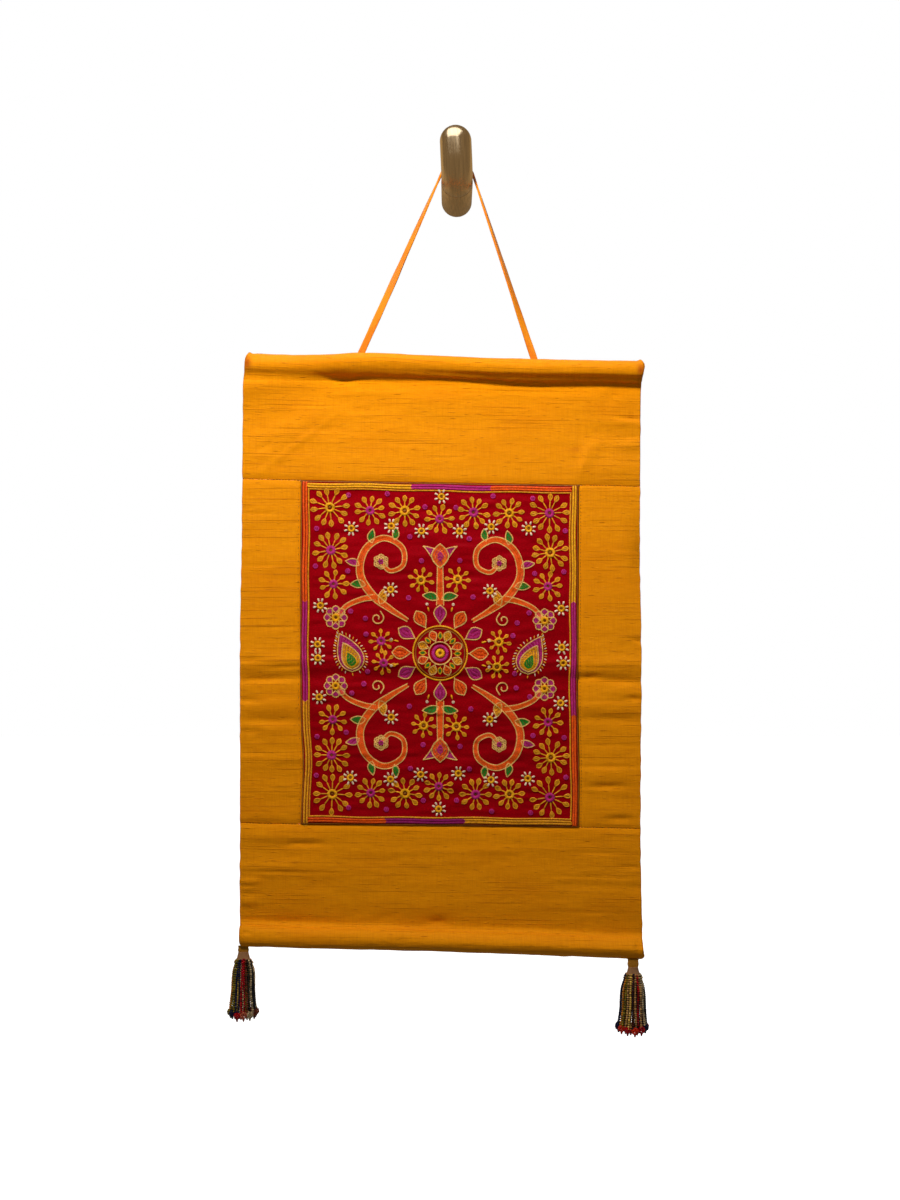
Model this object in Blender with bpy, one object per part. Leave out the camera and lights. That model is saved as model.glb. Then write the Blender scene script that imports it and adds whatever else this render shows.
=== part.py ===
"""Embroidered silk hanging with its strap, two bead tassels and the round hook that holds it.

Metres, +Z up. The origin is the middle of the flat face by which the hook is mounted. +Y points
backwards and the hanging faces -Y. Tables are in millimetres, in the same frame: x to the right, z up.
"Forward" is a distance from the plane in which the strap hangs, towards the front.
"""
import math
import random

import bmesh
import bpy
from mathutils import Vector

MM = 0.001
GAP = 0.3 * MM

# Hook: a straight sleeve, and a bar that runs on from it and bends upwards
STRAP_PLANE_Y = -61.0 * MM
SLEEVE_RADIUS = 12.2 * MM
BAR_RADIUS = 12.0 * MM
JOINT_Y = STRAP_PLANE_Y + 3.0 * MM
BEND_START_Y = STRAP_PLANE_Y - 3.0 * MM
BEND_RADIUS = 14.0 * MM
HOOK_TOP_Z = 37.2 * MM
HOOK_LEAN = 0.045
HOOK_EDGE = 0.4 * MM
ROUND_SIDES = 24

# Strap: a flat silk band over the hook's bar, sewn to the back of the top roll
STRAP_WIDTH = 5.2 * MM
STRAP_THICKNESS = 0.9 * MM
STRAP_FOOT_LEFT = (-78.9 * MM, -144.0 * MM)
STRAP_FOOT_RIGHT = (62.3 * MM, -146.0 * MM)
STRAP_LEG_STEPS = 12
STRAP_ARC_STEPS = 12
# Twist down each leg: share of its length, and degrees turned from lying along the bar
LEFT_LEG_TWIST = ((0.0, 0.0), (0.12, 15.0), (0.25, 32.0), (0.45, 52.0),
                  (0.62, 84.0), (0.75, 90.0), (1.0, 90.0))
RIGHT_LEG_TWIST = ((0.0, 0.0), (0.15, 12.0), (0.4, 26.0), (0.6, 42.0),
                   (0.8, 70.0), (0.9, 90.0), (1.0, 90.0))

# Outline of the hanging. Rows are (x, z) for edges that run across and (z, x) for those that run down.
TOP_EDGE = ((-163, -133.4), (-120, -134.7), (-71, -133.2), (-30, -134.9),
            (36, -137.7), (110, -139.2), (142, -139.6))
UPPER_SEAM = ((-165, -229.3), (-119, -230.5), (93, -234.2), (142, -235.3))
LOWER_SEAM = ((-167, -492.5), (-120, -493.6), (93, -496.0), (142, -497.2))
BOTTOM_EDGE = ((-167, -586.9), (-120, -588.4), (-21, -591.0), (36, -593.0), (109, -595.8), (143, -597.2))
LEFT_EDGE = ((-597, -167.3), (-556, -166.6), (-460, -166.0), (-353, -165.4),
             (-291, -164.5), (-169, -163.7), (-133, -161.6))
RIGHT_EDGE = ((-597, 143.4), (-575, 142.4), (-544, 141.2), (-460, 140.4), (-399, 140.7), (-322, 140.0),
              (-245, 139.9), (-176, 140.6), (-160, 141.2), (-139, 142.4))
PANEL_LEFT = ((-496, -119.8), (-448, -117.9), (-414, -119.2), (-322, -119.6), (-230, -119.3))
PANEL_RIGHT = ((-496, 93.3), (-444, 93.3), (-399, 92.2), (-322, 92.4), (-230, 93.0))

# A height near the middle of the cloth, at which straight lines across it are laid out first
MID_Z = -360.0 * MM

# Cloth, and how finely each piece is divided
STRIP_COLUMNS = 28
STRIP_ROWS = 11
SIDE_COLUMNS = 6
SIDE_ROWS = 36
PANEL_COLUMNS = 15
PANEL_ROWS = 25
SILK_THICKNESS = 1.4 * MM
PANEL_THICKNESS = 1.6 * MM
PANEL_PROUD = 0.5 * MM
BORDER_RISE = 0.9 * MM
BORDER_LINES = (0.8 * MM, 2.0 * MM, 6.2 * MM, 7.4 * MM)
SEAM_LINES = (2.0 * MM, 5.0 * MM)
SEAM_DIP = 0.8 * MM
SEAM_REACH = 2.6 * MM

# Rolls at the top and the bottom: radius forward, radius up, and how far forward the middle stands
TOP_ROLL = (8.5 * MM, 8.5 * MM, 9.3 * MM)
BOTTOM_ROLL = (5.0 * MM, 8.3 * MM, 4.8 * MM)
ROLL_FRONT_ANGLE = -115
ROLL_BACK_ANGLE = 200
ROLL_STEPS = 13
ROLL_CREASE = 3.0 * MM
ROLL_SWELL = ((-167, 1.0), (-110, 0.96), (-60, 1.02), (0, 0.97), (60, 1.0), (110, 0.96), (143, 1.0))
ROLL_TUCK_RIM = 1.8 * MM
ROLL_TUCK_DEPTH = 2.5 * MM

# How far forward the middle of the cloth hangs, by height: (z, forward)
HANG = ((-600, 2.6), (-575, 2.6), (-520, 3.6), (-460, 5.6), (-400, 8.2), (-360, 9.6), (-300, 8.9),
        (-230, 6.6), (-180, 4.6), (-158, 3.0), (-140, 2.4))

# Under the top roll the cloth is fuller in some places: (x, forward)
FULLNESS = ((-165, 3.2), (-97, 0.6), (-20, 2.2), (56, 0.2), (110, 1.3), (142, 0.6))
FULLNESS_BELOW_EDGE = 30.0 * MM
FULLNESS_REACH = 12.0 * MM

# Folds: x, z, half length, half width, lean in degrees, height (millimetres but for the lean)
FOLDS = (
    (-12, -371, 400, 7, -0.6, 1.7),
    (-12, -381, 400, 5, -0.6, -0.9),
    (-140, -403, 34, 6, 0, 1.3),
    (-150, -421, 20, 5, 0, 1.0),
    (-140, -444, 40, 5, 1, 0.9),
    (112, -404, 34, 7, -2, 1.3),
    (130, -392, 14, 5, -6, 1.1),
    (112, -457, 30, 8, -1, 1.4),
    (120, -484, 18, 6, -2, 1.1),
    (139, -288, 8, 28, 0, -2.2),
    (128, -186, 16, 4, -4, 1.3),
    (112, -196, 18, 6, 0, -1.0),
    (133, -204, 10, 4, 0, 1.2),
    (118, -222, 34, 8, -1, 1.3),
    (-120, -188, 36, 10, 33, 1.3),
    (102, -211, 15, 5, 58, 0.9),
    (-140, -503, 28, 5, 0, 1.0),
    (-140, -527, 42, 7, 0, 1.4),
    (-20, -545, 110, 9, -1, -1.3),
    (-20, -558, 95, 7, -1, 1.4),
    (-15, -569, 9, 4, 0, -1.4),
    (-160, -539, 9, 4, 0, 1.5),
    (-160, -553, 8, 4, 0, 1.2),
    (-60, -290, 46, 11, 8, 0.9),
    (40, -318, 52, 10, -6, 0.9),
    (-30, -452, 60, 9, 4, 0.9),
    (50, -434, 44, 8, -5, 0.8),
)

# Tassels: middle across, heights of the tab and the cap, strand length, and sideways hang of the tips
TASSEL_FORWARD = 4.6 * MM
TASSELS = {
    "left": {"x": -163.5, "tab_height": 3.6, "cap_height": 8.2, "strand": 44.4, "sway": -0.3, "seed": 4},
    "right": {"x": 134.7, "tab_height": 5.4, "cap_height": 7.5, "strand": 44.7, "sway": -1.0, "seed": 9},
}
# Cap outline: share of its height, half width, half depth
CAP_LEFT = ((0.0, 3.9, 3.2), (0.5, 4.9, 4.0), (0.8, 5.9, 4.8), (1.0, 7.0, 5.6))
CAP_RIGHT = ((0.0, 3.8, 3.2), (0.47, 4.7, 3.9), (0.8, 6.1, 4.9), (1.0, 7.3, 5.8))
# Bundle of strands below the cap: share of its length, half width, half depth
BUNDLE_LEFT = ((0.0, 7.0, 5.6), (0.13, 8.9, 6.8), (0.5, 9.9, 7.5), (0.84, 11.5, 8.4), (1.0, 12.4, 9.1))
BUNDLE_RIGHT = ((0.0, 7.3, 5.8), (0.18, 9.6, 7.1), (0.55, 10.8, 7.9), (0.82, 12.6, 8.9), (1.0, 13.6, 9.5))
STRANDS_ACROSS = 8
STRANDS_DEEP = 4
STRAND_INSET = 0.22 * MM
# Rings down a strand: share of its length, and its size against its root
STRAND_RINGS = ((0.14, 1.15), (0.5, 1.2), (0.86, 1.25), (0.93, 1.5), (1.0, 0.6))
STRAND_UNEVEN = 0.07
STRAND_SHORTER_OUTSIDE = 0.05
TAB_DEPTH = 3.0 * MM
TAB_LEFT = ((0.0, 4.2), (0.5, 4.0), (1.0, 3.9))
TAB_RIGHT = ((0.0, 4.4), (0.5, 4.2), (1.0, 3.8))

SILK = ("silk", (0.80, 0.36, 0.015), 0.42, 0.0)
SHADED_SILK = ("silk_in_shade", (0.26, 0.12, 0.02), 0.5, 0.0)
STRAP_SILK = ("strap_silk", (0.82, 0.28, 0.01), 0.45, 0.0)
EMBROIDERY = ("embroidery", (0.34, 0.0, 0.012), 0.6, 0.0)
BEADS = ("beads", (0.16, 0.07, 0.025), 0.3, 0.1)
BRONZE = ("bronze", (0.27, 0.16, 0.075), 0.3, 0.9)


def through(table, position, column=1):
    """Smooth value at a position of a short table whose first column rises."""
    last = len(table) - 1
    position = min(max(position, table[0][0]), table[last][0])
    i = 0
    while i < last - 1 and position > table[i + 1][0]:
        i += 1

    def slope(k):
        before = table[max(k - 1, 0)]
        after = table[min(k + 1, last)]
        return (after[column] - before[column]) / (after[0] - before[0])

    span = table[i + 1][0] - table[i][0]
    t = (position - table[i][0]) / span
    start = table[i][column]
    end = table[i + 1][column]
    ease = t * t * (3 - 2 * t)
    lift = slope(i) * t * (1 - t) ** 2 - slope(i + 1) * t * t * (1 - t)
    return start + (end - start) * ease + lift * span


def edge(table, position):
    """Place in metres of an outline or seam, at a position along it in metres."""
    return through(table, position / MM) * MM


def forward(x, z):
    """How far the middle of the cloth stands in front of the strap's plane."""
    reach = through(HANG, z / MM) * MM
    below_edge = edge(TOP_EDGE, x) - z
    fullness = through(FULLNESS, x / MM) * MM
    reach += fullness * math.exp(-((below_edge - FULLNESS_BELOW_EDGE) / FULLNESS_REACH) ** 2)
    for fold_x, fold_z, half_length, half_width, lean, height in FOLDS:
        along = x / MM - fold_x
        up = z / MM - fold_z
        turn = math.radians(lean)
        a = (along * math.cos(turn) + up * math.sin(turn)) / half_length
        b = (up * math.cos(turn) - along * math.sin(turn)) / half_width
        reach += height * MM * math.exp(-a * a - b * b)
    for seam in (UPPER_SEAM, LOWER_SEAM):
        reach -= SEAM_DIP * math.exp(-((z - edge(seam, x)) / SEAM_REACH) ** 2)
    return reach


def place(x, z, reach):
    return Vector((x, STRAP_PLANE_Y - reach, z))


def material(look):
    name, colour, roughness, metallic = look
    made = bpy.data.materials.get(name)
    if made is None:
        made = bpy.data.materials.new(name)
        made.use_nodes = True
        shader = made.node_tree.nodes["Principled BSDF"]
        shader.inputs["Base Color"].default_value = (*colour, 1.0)
        shader.inputs["Roughness"].default_value = roughness
        shader.inputs["Metallic"].default_value = metallic
    return made


def finish(bm, name, look, sharp_degrees=50):
    """Turn a closed bmesh into a named object with its material."""
    bmesh.ops.recalc_face_normals(bm, faces=bm.faces)
    mesh = bpy.data.meshes.new(name)
    bm.to_mesh(mesh)
    bm.free()
    mesh.shade_smooth()
    mesh.set_sharp_from_angle(angle=math.radians(sharp_degrees))
    mesh.materials.append(material(look))
    made = bpy.data.objects.new(name, mesh)
    bpy.context.collection.objects.link(made)
    return made


def skin_rings(bm, rings):
    """Join closed rings of equally many vertices with quads, and close both ends."""
    count = len(rings[0])
    for lower, upper in zip(rings, rings[1:]):
        for i in range(count):
            j = (i + 1) % count
            bm.faces.new((lower[i], lower[j], upper[j], upper[i]))
    bm.faces.new(rings[0])
    bm.faces.new(rings[-1])


def steps_between(length, near_ends, count):
    """Shares from 0 to 1 with set distances near both ends and even steps between them."""
    inner = near_ends[-1]
    start = [0.0] + [distance / length for distance in near_ends]
    middle = [(inner + (length - 2 * inner) * i / count) / length for i in range(1, count)]
    end = [1 - share for share in reversed(start)]
    return start + middle + end


def make_sheet(name, edges, columns, rows, thickness, look, rise=None):
    """A cloth of one thickness between four edge functions, on the shared folds."""
    left, right, top, bottom = edges
    grid = []
    for v in rows:
        line = []
        for u in columns:
            x = (left(MID_Z) + right(MID_Z)) / 2
            for _ in range(4):
                z = top(x) + (bottom(x) - top(x)) * v
                x = left(z) + (right(z) - left(z)) * u
            line.append((x, z))
        grid.append(line)
    bm = bmesh.new()
    front = []
    back = []
    for line in grid:
        front_line = []
        back_line = []
        for x, z in line:
            middle = forward(x, z)
            lift = rise(x, z) if rise else 0.0
            front_line.append(bm.verts.new(place(x, z, middle + thickness / 2 + lift)))
            back_line.append(bm.verts.new(place(x, z, middle - thickness / 2)))
        front.append(front_line)
        back.append(back_line)
    down = len(rows) - 1
    across = len(columns) - 1
    for face in (front, back):
        for j in range(down):
            for i in range(across):
                bm.faces.new((face[j][i], face[j][i + 1], face[j + 1][i + 1], face[j + 1][i]))
    for i in range(across):
        for j in (0, down):
            bm.faces.new((front[j][i], front[j][i + 1], back[j][i + 1], back[j][i]))
    for j in range(down):
        for i in (0, across):
            bm.faces.new((front[j][i], front[j + 1][i], back[j + 1][i], back[j][i]))
    return finish(bm, name, look)


def roll_middle(side, x):
    """Radii and middle of the top roll (side 1) or the bottom roll (side -1) at x."""
    radius_forward, radius_up, middle_forward = TOP_ROLL if side > 0 else BOTTOM_ROLL
    swell = through(ROLL_SWELL, x / MM)
    outer = edge(TOP_EDGE if side > 0 else BOTTOM_EDGE, x)
    return radius_forward * swell, radius_up * swell, middle_forward, outer - side * radius_up * swell


def make_rolled_cloth(name, side, seam, columns):
    """A silk strip whose outer edge is a filled roll: one closed section, swept across."""
    bm = bmesh.new()
    sections = []
    for u in columns:
        x = edge(LEFT_EDGE, MID_Z) * (1 - u) + edge(RIGHT_EDGE, MID_Z) * u
        radius_forward, radius_up, roll_forward, roll_z = roll_middle(side, x)
        crease_z = roll_z - side * (radius_up + ROLL_CREASE)
        start_z = edge(seam, x) + side * GAP / 2
        rows = steps_between(abs(crease_z - start_z), SEAM_LINES, STRIP_ROWS)
        front = []
        back = []
        for v in rows:
            z = start_z + (crease_z - start_z) * v
            side_x = edge(LEFT_EDGE, z) * (1 - u) + edge(RIGHT_EDGE, z) * u
            middle = forward(side_x, z)
            front.append(bm.verts.new(place(side_x, z, middle + SILK_THICKNESS / 2)))
            back.append(bm.verts.new(place(side_x, z, middle - SILK_THICKNESS / 2)))
        ring = []
        for k in range(ROLL_STEPS + 1):
            angle = math.radians(ROLL_FRONT_ANGLE + (ROLL_BACK_ANGLE - ROLL_FRONT_ANGLE) * k / ROLL_STEPS)
            z = roll_z + side * radius_up * math.sin(angle)
            side_x = edge(LEFT_EDGE, z) * (1 - u) + edge(RIGHT_EDGE, z) * u
            ring.append(bm.verts.new(place(side_x, z, roll_forward + radius_forward * math.cos(angle))))
        sections.append((front, ring, back))
    for near, far in zip(sections, sections[1:]):
        loop_near = near[0] + near[1] + near[2][::-1]
        loop_far = far[0] + far[1] + far[2][::-1]
        for i in range(len(loop_near)):
            j = (i + 1) % len(loop_near)
            bm.faces.new((loop_near[i], loop_near[j], loop_far[j], loop_far[i]))
    roll_ends = []
    for front, ring, back in (sections[0], sections[-1]):
        for i in range(len(front) - 1):
            bm.faces.new((front[i], front[i + 1], back[i + 1], back[i]))
        bm.faces.new((front[-1], ring[0], ring[-1], back[-1]))
        roll_ends.append(bm.faces.new(ring))
    bmesh.ops.recalc_face_normals(bm, faces=bm.faces)
    bmesh.ops.inset_region(bm, faces=roll_ends, thickness=ROLL_TUCK_RIM, depth=-ROLL_TUCK_DEPTH)
    return finish(bm, name, SILK)


def border_rise(x, z):
    """The red cloth stands a little proud of the silk, and its stitched border higher still."""
    inset = min(x - edge(PANEL_LEFT, z), edge(PANEL_RIGHT, z) - x,
                edge(UPPER_SEAM, x) - z, z - edge(LOWER_SEAM, x))
    first, second, third, fourth = BORDER_LINES
    up = min(max((inset - first) / (second - first), 0.0), 1.0)
    down = min(max((fourth - inset) / (fourth - third), 0.0), 1.0)
    return PANEL_PROUD + BORDER_RISE * min(up, down)


def make_cloths():
    half = GAP / 2
    across = [i / STRIP_COLUMNS for i in range(STRIP_COLUMNS + 1)]
    make_rolled_cloth("silk_top", 1, UPPER_SEAM, across)
    make_rolled_cloth("silk_bottom", -1, LOWER_SEAM, across)
    height = edge(UPPER_SEAM, 0.0) - edge(LOWER_SEAM, 0.0)
    side_rows = steps_between(height, SEAM_LINES, SIDE_ROWS)
    side_columns = [i / SIDE_COLUMNS for i in range(SIDE_COLUMNS + 1)]
    top = lambda x: edge(UPPER_SEAM, x) - half
    bottom = lambda x: edge(LOWER_SEAM, x) + half
    left_edges = (lambda z: edge(LEFT_EDGE, z), lambda z: edge(PANEL_LEFT, z) - half, top, bottom)
    right_edges = (lambda z: edge(PANEL_RIGHT, z) + half, lambda z: edge(RIGHT_EDGE, z), top, bottom)
    panel_edges = (lambda z: edge(PANEL_LEFT, z) + half, lambda z: edge(PANEL_RIGHT, z) - half, top, bottom)
    make_sheet("silk_left", left_edges, side_columns, side_rows, SILK_THICKNESS, SILK)
    make_sheet("silk_right", right_edges, side_columns, side_rows, SILK_THICKNESS, SILK)
    width = edge(PANEL_RIGHT, MID_Z) - edge(PANEL_LEFT, MID_Z)
    panel_columns = steps_between(width, BORDER_LINES, PANEL_COLUMNS)
    panel_rows = steps_between(height, BORDER_LINES, PANEL_ROWS)
    make_sheet("embroidered_panel", panel_edges, panel_columns, panel_rows,
               PANEL_THICKNESS, EMBROIDERY, border_rise)


def make_round_bar(name, stations, look):
    """A round bar through stations of (middle, direction, radius)."""
    bm = bmesh.new()
    rings = []
    for middle, direction, radius in stations:
        side = Vector((1.0, 0.0, 0.0))
        other = direction.cross(side).normalized()
        ring = []
        for i in range(ROUND_SIDES):
            angle = 2 * math.pi * i / ROUND_SIDES
            outward = side * math.cos(angle) + other * math.sin(angle)
            ring.append(bm.verts.new(middle + outward * radius))
        rings.append(ring)
    skin_rings(bm, rings)
    return finish(bm, name, look, 35)


def make_hook():
    out = Vector((0.0, -1.0, 0.0))
    up = Vector((0.0, 0.0, 1.0))
    sleeve_end = JOINT_Y + GAP
    sleeve = [(Vector((0, 0, 0)), out, SLEEVE_RADIUS),
              (Vector((0, sleeve_end + HOOK_EDGE, 0)), out, SLEEVE_RADIUS),
              (Vector((0, sleeve_end, 0)), out, SLEEVE_RADIUS - HOOK_EDGE)]
    make_round_bar("hook_sleeve", sleeve, BRONZE)
    bar = [(Vector((0, JOINT_Y, 0)), out, BAR_RADIUS - HOOK_EDGE),
           (Vector((0, JOINT_Y - HOOK_EDGE, 0)), out, BAR_RADIUS)]
    bend_steps = 9
    for i in range(bend_steps + 1):
        turn = math.pi / 2 * i / bend_steps
        y = BEND_START_Y - BEND_RADIUS * math.sin(turn)
        z = BEND_RADIUS * (1 - math.cos(turn))
        bar.append((Vector((-HOOK_LEAN * z, y, z)), out * math.cos(turn) + up * math.sin(turn), BAR_RADIUS))
    dome_steps = 7
    dome_z = HOOK_TOP_Z - BAR_RADIUS
    for i in range(dome_steps):
        turn = math.pi / 2 * i / dome_steps
        z = dome_z + BAR_RADIUS * math.sin(turn)
        middle = Vector((-HOOK_LEAN * z, BEND_START_Y - BEND_RADIUS, z))
        bar.append((middle, up, BAR_RADIUS * math.cos(turn)))
    top_z = HOOK_TOP_Z
    bar.append((Vector((-HOOK_LEAN * top_z, BEND_START_Y - BEND_RADIUS, top_z)), up, BAR_RADIUS * 0.08))
    make_round_bar("hook_bar", bar, BRONZE)


def strap_stations():
    """Middle line of the strap with its in-plane normal and twist: left leg, over the bar, right leg."""
    radius = BAR_RADIUS + GAP + STRAP_THICKNESS / 2
    angles = []
    for foot_x, foot_z in (STRAP_FOOT_LEFT, STRAP_FOOT_RIGHT):
        reach = math.hypot(foot_x, foot_z)
        towards_foot = math.atan2(foot_z, foot_x)
        away = math.acos(radius / reach)
        angles.append(towards_foot - away if foot_x < 0 else towards_foot + away)
    start = angles[0] % (2 * math.pi)
    end = angles[1] % (2 * math.pi)
    stations = []

    def leg(foot, angle, twists, order):
        tangent = Vector((math.cos(angle) * radius, 0.0, math.sin(angle) * radius))
        foot_point = Vector((foot[0], 0.0, foot[1]))
        normal = Vector((math.cos(angle), 0.0, math.sin(angle)))
        for i in order:
            share = i / STRAP_LEG_STEPS
            middle = tangent.lerp(foot_point, share)
            stations.append((middle, normal, math.radians(through(twists, share))))

    leg(STRAP_FOOT_LEFT, start, LEFT_LEG_TWIST, range(STRAP_LEG_STEPS, 0, -1))
    for i in range(STRAP_ARC_STEPS + 1):
        angle = start + (end - start) * i / STRAP_ARC_STEPS
        normal = Vector((math.cos(angle), 0.0, math.sin(angle)))
        stations.append((normal * radius, normal, 0.0))
    leg(STRAP_FOOT_RIGHT, end, RIGHT_LEG_TWIST, range(1, STRAP_LEG_STEPS + 1))
    return stations


def make_strap():
    """Flat band: its width lies along the bar at the top and turns to face the front lower down."""
    bm = bmesh.new()
    along_bar = Vector((0.0, 1.0, 0.0))
    half_width = STRAP_WIDTH / 2
    half_thick = STRAP_THICKNESS / 2
    rounding = 0.45 * half_thick
    outline = [(half_width, rounding), (half_width - half_thick, half_thick),
               (half_thick - half_width, half_thick), (-half_width, rounding),
               (-half_width, -rounding), (half_thick - half_width, -half_thick),
               (half_width - half_thick, -half_thick), (half_width, -rounding)]
    rings = []
    for middle, normal, twist in strap_stations():
        wide = along_bar * math.cos(twist) + normal * math.sin(twist)
        thick = normal * math.cos(twist) - along_bar * math.sin(twist)
        centre = middle + Vector((0.0, STRAP_PLANE_Y, 0.0))
        rings.append([bm.verts.new(centre + wide * a + thick * b) for a, b in outline])
    skin_rings(bm, rings)
    return finish(bm, "hanging_strap", STRAP_SILK)


def on_disc(u, v):
    """Map a square grid of -1 to 1 onto a unit disc."""
    return u * math.sqrt(1 - v * v / 2), v * math.sqrt(1 - u * u / 2)


def make_tab(name, middle, top_z, height, outline):
    """The short folded tab of silk from the hem to the tassel."""
    bm = bmesh.new()
    rings = []
    for share, half_width in outline:
        ring = []
        for i in range(12):
            turn = 2 * math.pi * i / 12
            u = math.copysign(abs(math.cos(turn)) ** 0.5, math.cos(turn))
            v = math.copysign(abs(math.sin(turn)) ** 0.5, math.sin(turn))
            x = middle.x + u * half_width * MM
            y = middle.y + v * TAB_DEPTH / 2
            ring.append(bm.verts.new((x, y, top_z - share * height)))
        rings.append(ring)
    skin_rings(bm, rings)
    return finish(bm, name, SHADED_SILK)


def make_tassel(name, middle, top_z, sizes, cap, bundle):
    """A cap whose underside carries the bead strands, each grown out of it and apart from the rest."""
    bm = bmesh.new()
    cap_height = sizes["cap_height"] * MM
    root_z = top_z - cap_height
    grid = []
    for j in range(STRANDS_DEEP + 1):
        line = []
        for i in range(STRANDS_ACROSS + 1):
            u, v = on_disc(2 * i / STRANDS_ACROSS - 1, 2 * j / STRANDS_DEEP - 1)
            x = middle.x + u * cap[-1][1] * MM
            line.append(bm.verts.new((x, middle.y + v * cap[-1][2] * MM, root_z)))
        grid.append(line)
    roots = []
    for j in range(STRANDS_DEEP):
        for i in range(STRANDS_ACROSS):
            roots.append(bm.faces.new((grid[j][i], grid[j][i + 1], grid[j + 1][i + 1], grid[j + 1][i])))
    right_side = [line[-1] for line in grid[:-1]]
    left_side = [line[0] for line in grid[:0:-1]]
    rim = grid[0][:-1] + right_side + grid[-1][:0:-1] + left_side
    rings = [rim]
    for share, half_width, half_depth in cap[-2::-1]:
        ring = []
        for vert in rim:
            u = (vert.co.x - middle.x) / (cap[-1][1] * MM)
            v = (vert.co.y - middle.y) / (cap[-1][2] * MM)
            x = middle.x + u * half_width * MM
            ring.append(bm.verts.new((x, middle.y + v * half_depth * MM, top_z - share * cap_height)))
        rings.append(ring)
    count = len(rim)
    for lower, upper in zip(rings, rings[1:]):
        for i in range(count):
            j = (i + 1) % count
            bm.faces.new((lower[i], lower[j], upper[j], upper[i]))
    bm.faces.new(rings[-1])
    bmesh.ops.recalc_face_normals(bm, faces=bm.faces)
    bmesh.ops.inset_individual(bm, faces=roots, thickness=STRAND_INSET)
    draw = random.Random(sizes["seed"])
    full_length = sizes["strand"] * MM
    for root in roots:
        centre = root.calc_center_median()
        u = (centre.x - middle.x) / (cap[-1][1] * MM)
        v = (centre.y - middle.y) / (cap[-1][2] * MM)
        length = full_length * (1 - STRAND_UNEVEN * draw.random() - STRAND_SHORTER_OUTSIDE * u * u)
        rings = [list(root.verts)]
        offsets = [vert.co - centre for vert in root.verts]
        for share, size in STRAND_RINGS:
            drop = share * length
            depth_share = drop / full_length
            x = middle.x + (u * through(bundle, depth_share) + sizes["sway"] * depth_share) * MM
            y = middle.y + v * through(bundle, depth_share, 2) * MM
            spot = Vector((x, y, root_z - drop))
            rings.append([bm.verts.new(spot + offset * size) for offset in offsets])
        bm.faces.remove(root)
        for lower, upper in zip(rings, rings[1:]):
            for i in range(len(offsets)):
                j = (i + 1) % len(offsets)
                bm.faces.new((lower[i], lower[j], upper[j], upper[i]))
        bm.faces.new(rings[-1])
    return finish(bm, name, BEADS)


def make_tassels():
    for side, tab, cap, bundle in (("left", TAB_LEFT, CAP_LEFT, BUNDLE_LEFT),
                                   ("right", TAB_RIGHT, CAP_RIGHT, BUNDLE_RIGHT)):
        sizes = TASSELS[side]
        x = sizes["x"] * MM
        middle = place(x, 0.0, TASSEL_FORWARD)
        tab_top = edge(BOTTOM_EDGE, x) - GAP
        tab_height = sizes["tab_height"] * MM
        make_tab("tassel_tab_" + side, middle, tab_top, tab_height, tab)
        make_tassel("tassel_" + side, middle, tab_top - tab_height - GAP, sizes, cap, bundle)


def main():
    for leftover in list(bpy.data.objects):
        bpy.data.objects.remove(leftover, do_unlink=True)
    make_cloths()
    make_hook()
    make_strap()
    make_tassels()


main()
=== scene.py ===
"""Dresses the solids of an embroidered silk hanging: cloth, needlework, strap, bead tassels and hook.

Lengths in tables are in millimetres and in the row's own frame: x to the right, z up. "Forward" is a
distance towards the front from the upright plane in which the strap hangs.
"""
import math

import bpy
import bmesh
import numpy as np
from bpy.props import FloatProperty, FloatVectorProperty, IntProperty, PointerProperty
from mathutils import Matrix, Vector


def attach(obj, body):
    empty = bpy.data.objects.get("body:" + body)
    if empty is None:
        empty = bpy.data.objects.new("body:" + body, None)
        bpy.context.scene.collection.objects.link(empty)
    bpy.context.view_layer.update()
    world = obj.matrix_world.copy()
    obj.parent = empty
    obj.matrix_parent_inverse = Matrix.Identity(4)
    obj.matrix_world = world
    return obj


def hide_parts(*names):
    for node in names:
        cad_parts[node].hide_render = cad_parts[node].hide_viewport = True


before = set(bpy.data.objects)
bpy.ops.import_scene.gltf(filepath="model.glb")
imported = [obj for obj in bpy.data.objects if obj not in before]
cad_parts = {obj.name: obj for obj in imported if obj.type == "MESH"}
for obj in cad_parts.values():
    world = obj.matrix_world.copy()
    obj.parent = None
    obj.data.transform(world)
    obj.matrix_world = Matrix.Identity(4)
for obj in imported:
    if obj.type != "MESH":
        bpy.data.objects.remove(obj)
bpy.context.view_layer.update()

bl_info = {
    "name": "Embroidered silk hanging",
    "version": (1, 0, 0),
    "blender": (4, 5, 0),
    "location": "3D View > Sidebar > Silk hanging",
    "description": "Cloth, needlework, strap, bead tassels and hook of a silk hanging",
    "category": "Object",
}

MM = 0.001

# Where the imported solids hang

STRAP_PLANE_Y = -61.0 * MM
MID_Z = -360.0
SILK_THICKNESS = 1.4
PANEL_THICKNESS = 1.6
PANEL_PROUD = 0.5

# Rows are (x, z) for edges that run across and (z, x) for those that run down
TOP_EDGE = ((-163, -133.4), (-120, -134.7), (-71, -133.2), (-30, -134.9), (36, -137.7), (110, -139.2),
            (142, -139.6))
UPPER_SEAM = ((-165, -229.3), (-119, -230.5), (93, -234.2), (142, -235.3))
LOWER_SEAM = ((-167, -492.5), (-120, -493.6), (93, -496.0), (142, -497.2))
BOTTOM_EDGE = ((-167, -586.9), (-120, -588.4), (-21, -591.0), (36, -593.0), (109, -595.8), (143, -597.2))
LEFT_EDGE = ((-597, -167.3), (-556, -166.6), (-460, -166.0), (-353, -165.4), (-291, -164.5), (-169, -163.7),
             (-133, -161.6))
RIGHT_EDGE = ((-597, 143.4), (-575, 142.4), (-544, 141.2), (-460, 140.4), (-399, 140.7), (-322, 140.0),
              (-245, 139.9), (-176, 140.6), (-160, 141.2), (-139, 142.4))
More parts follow.
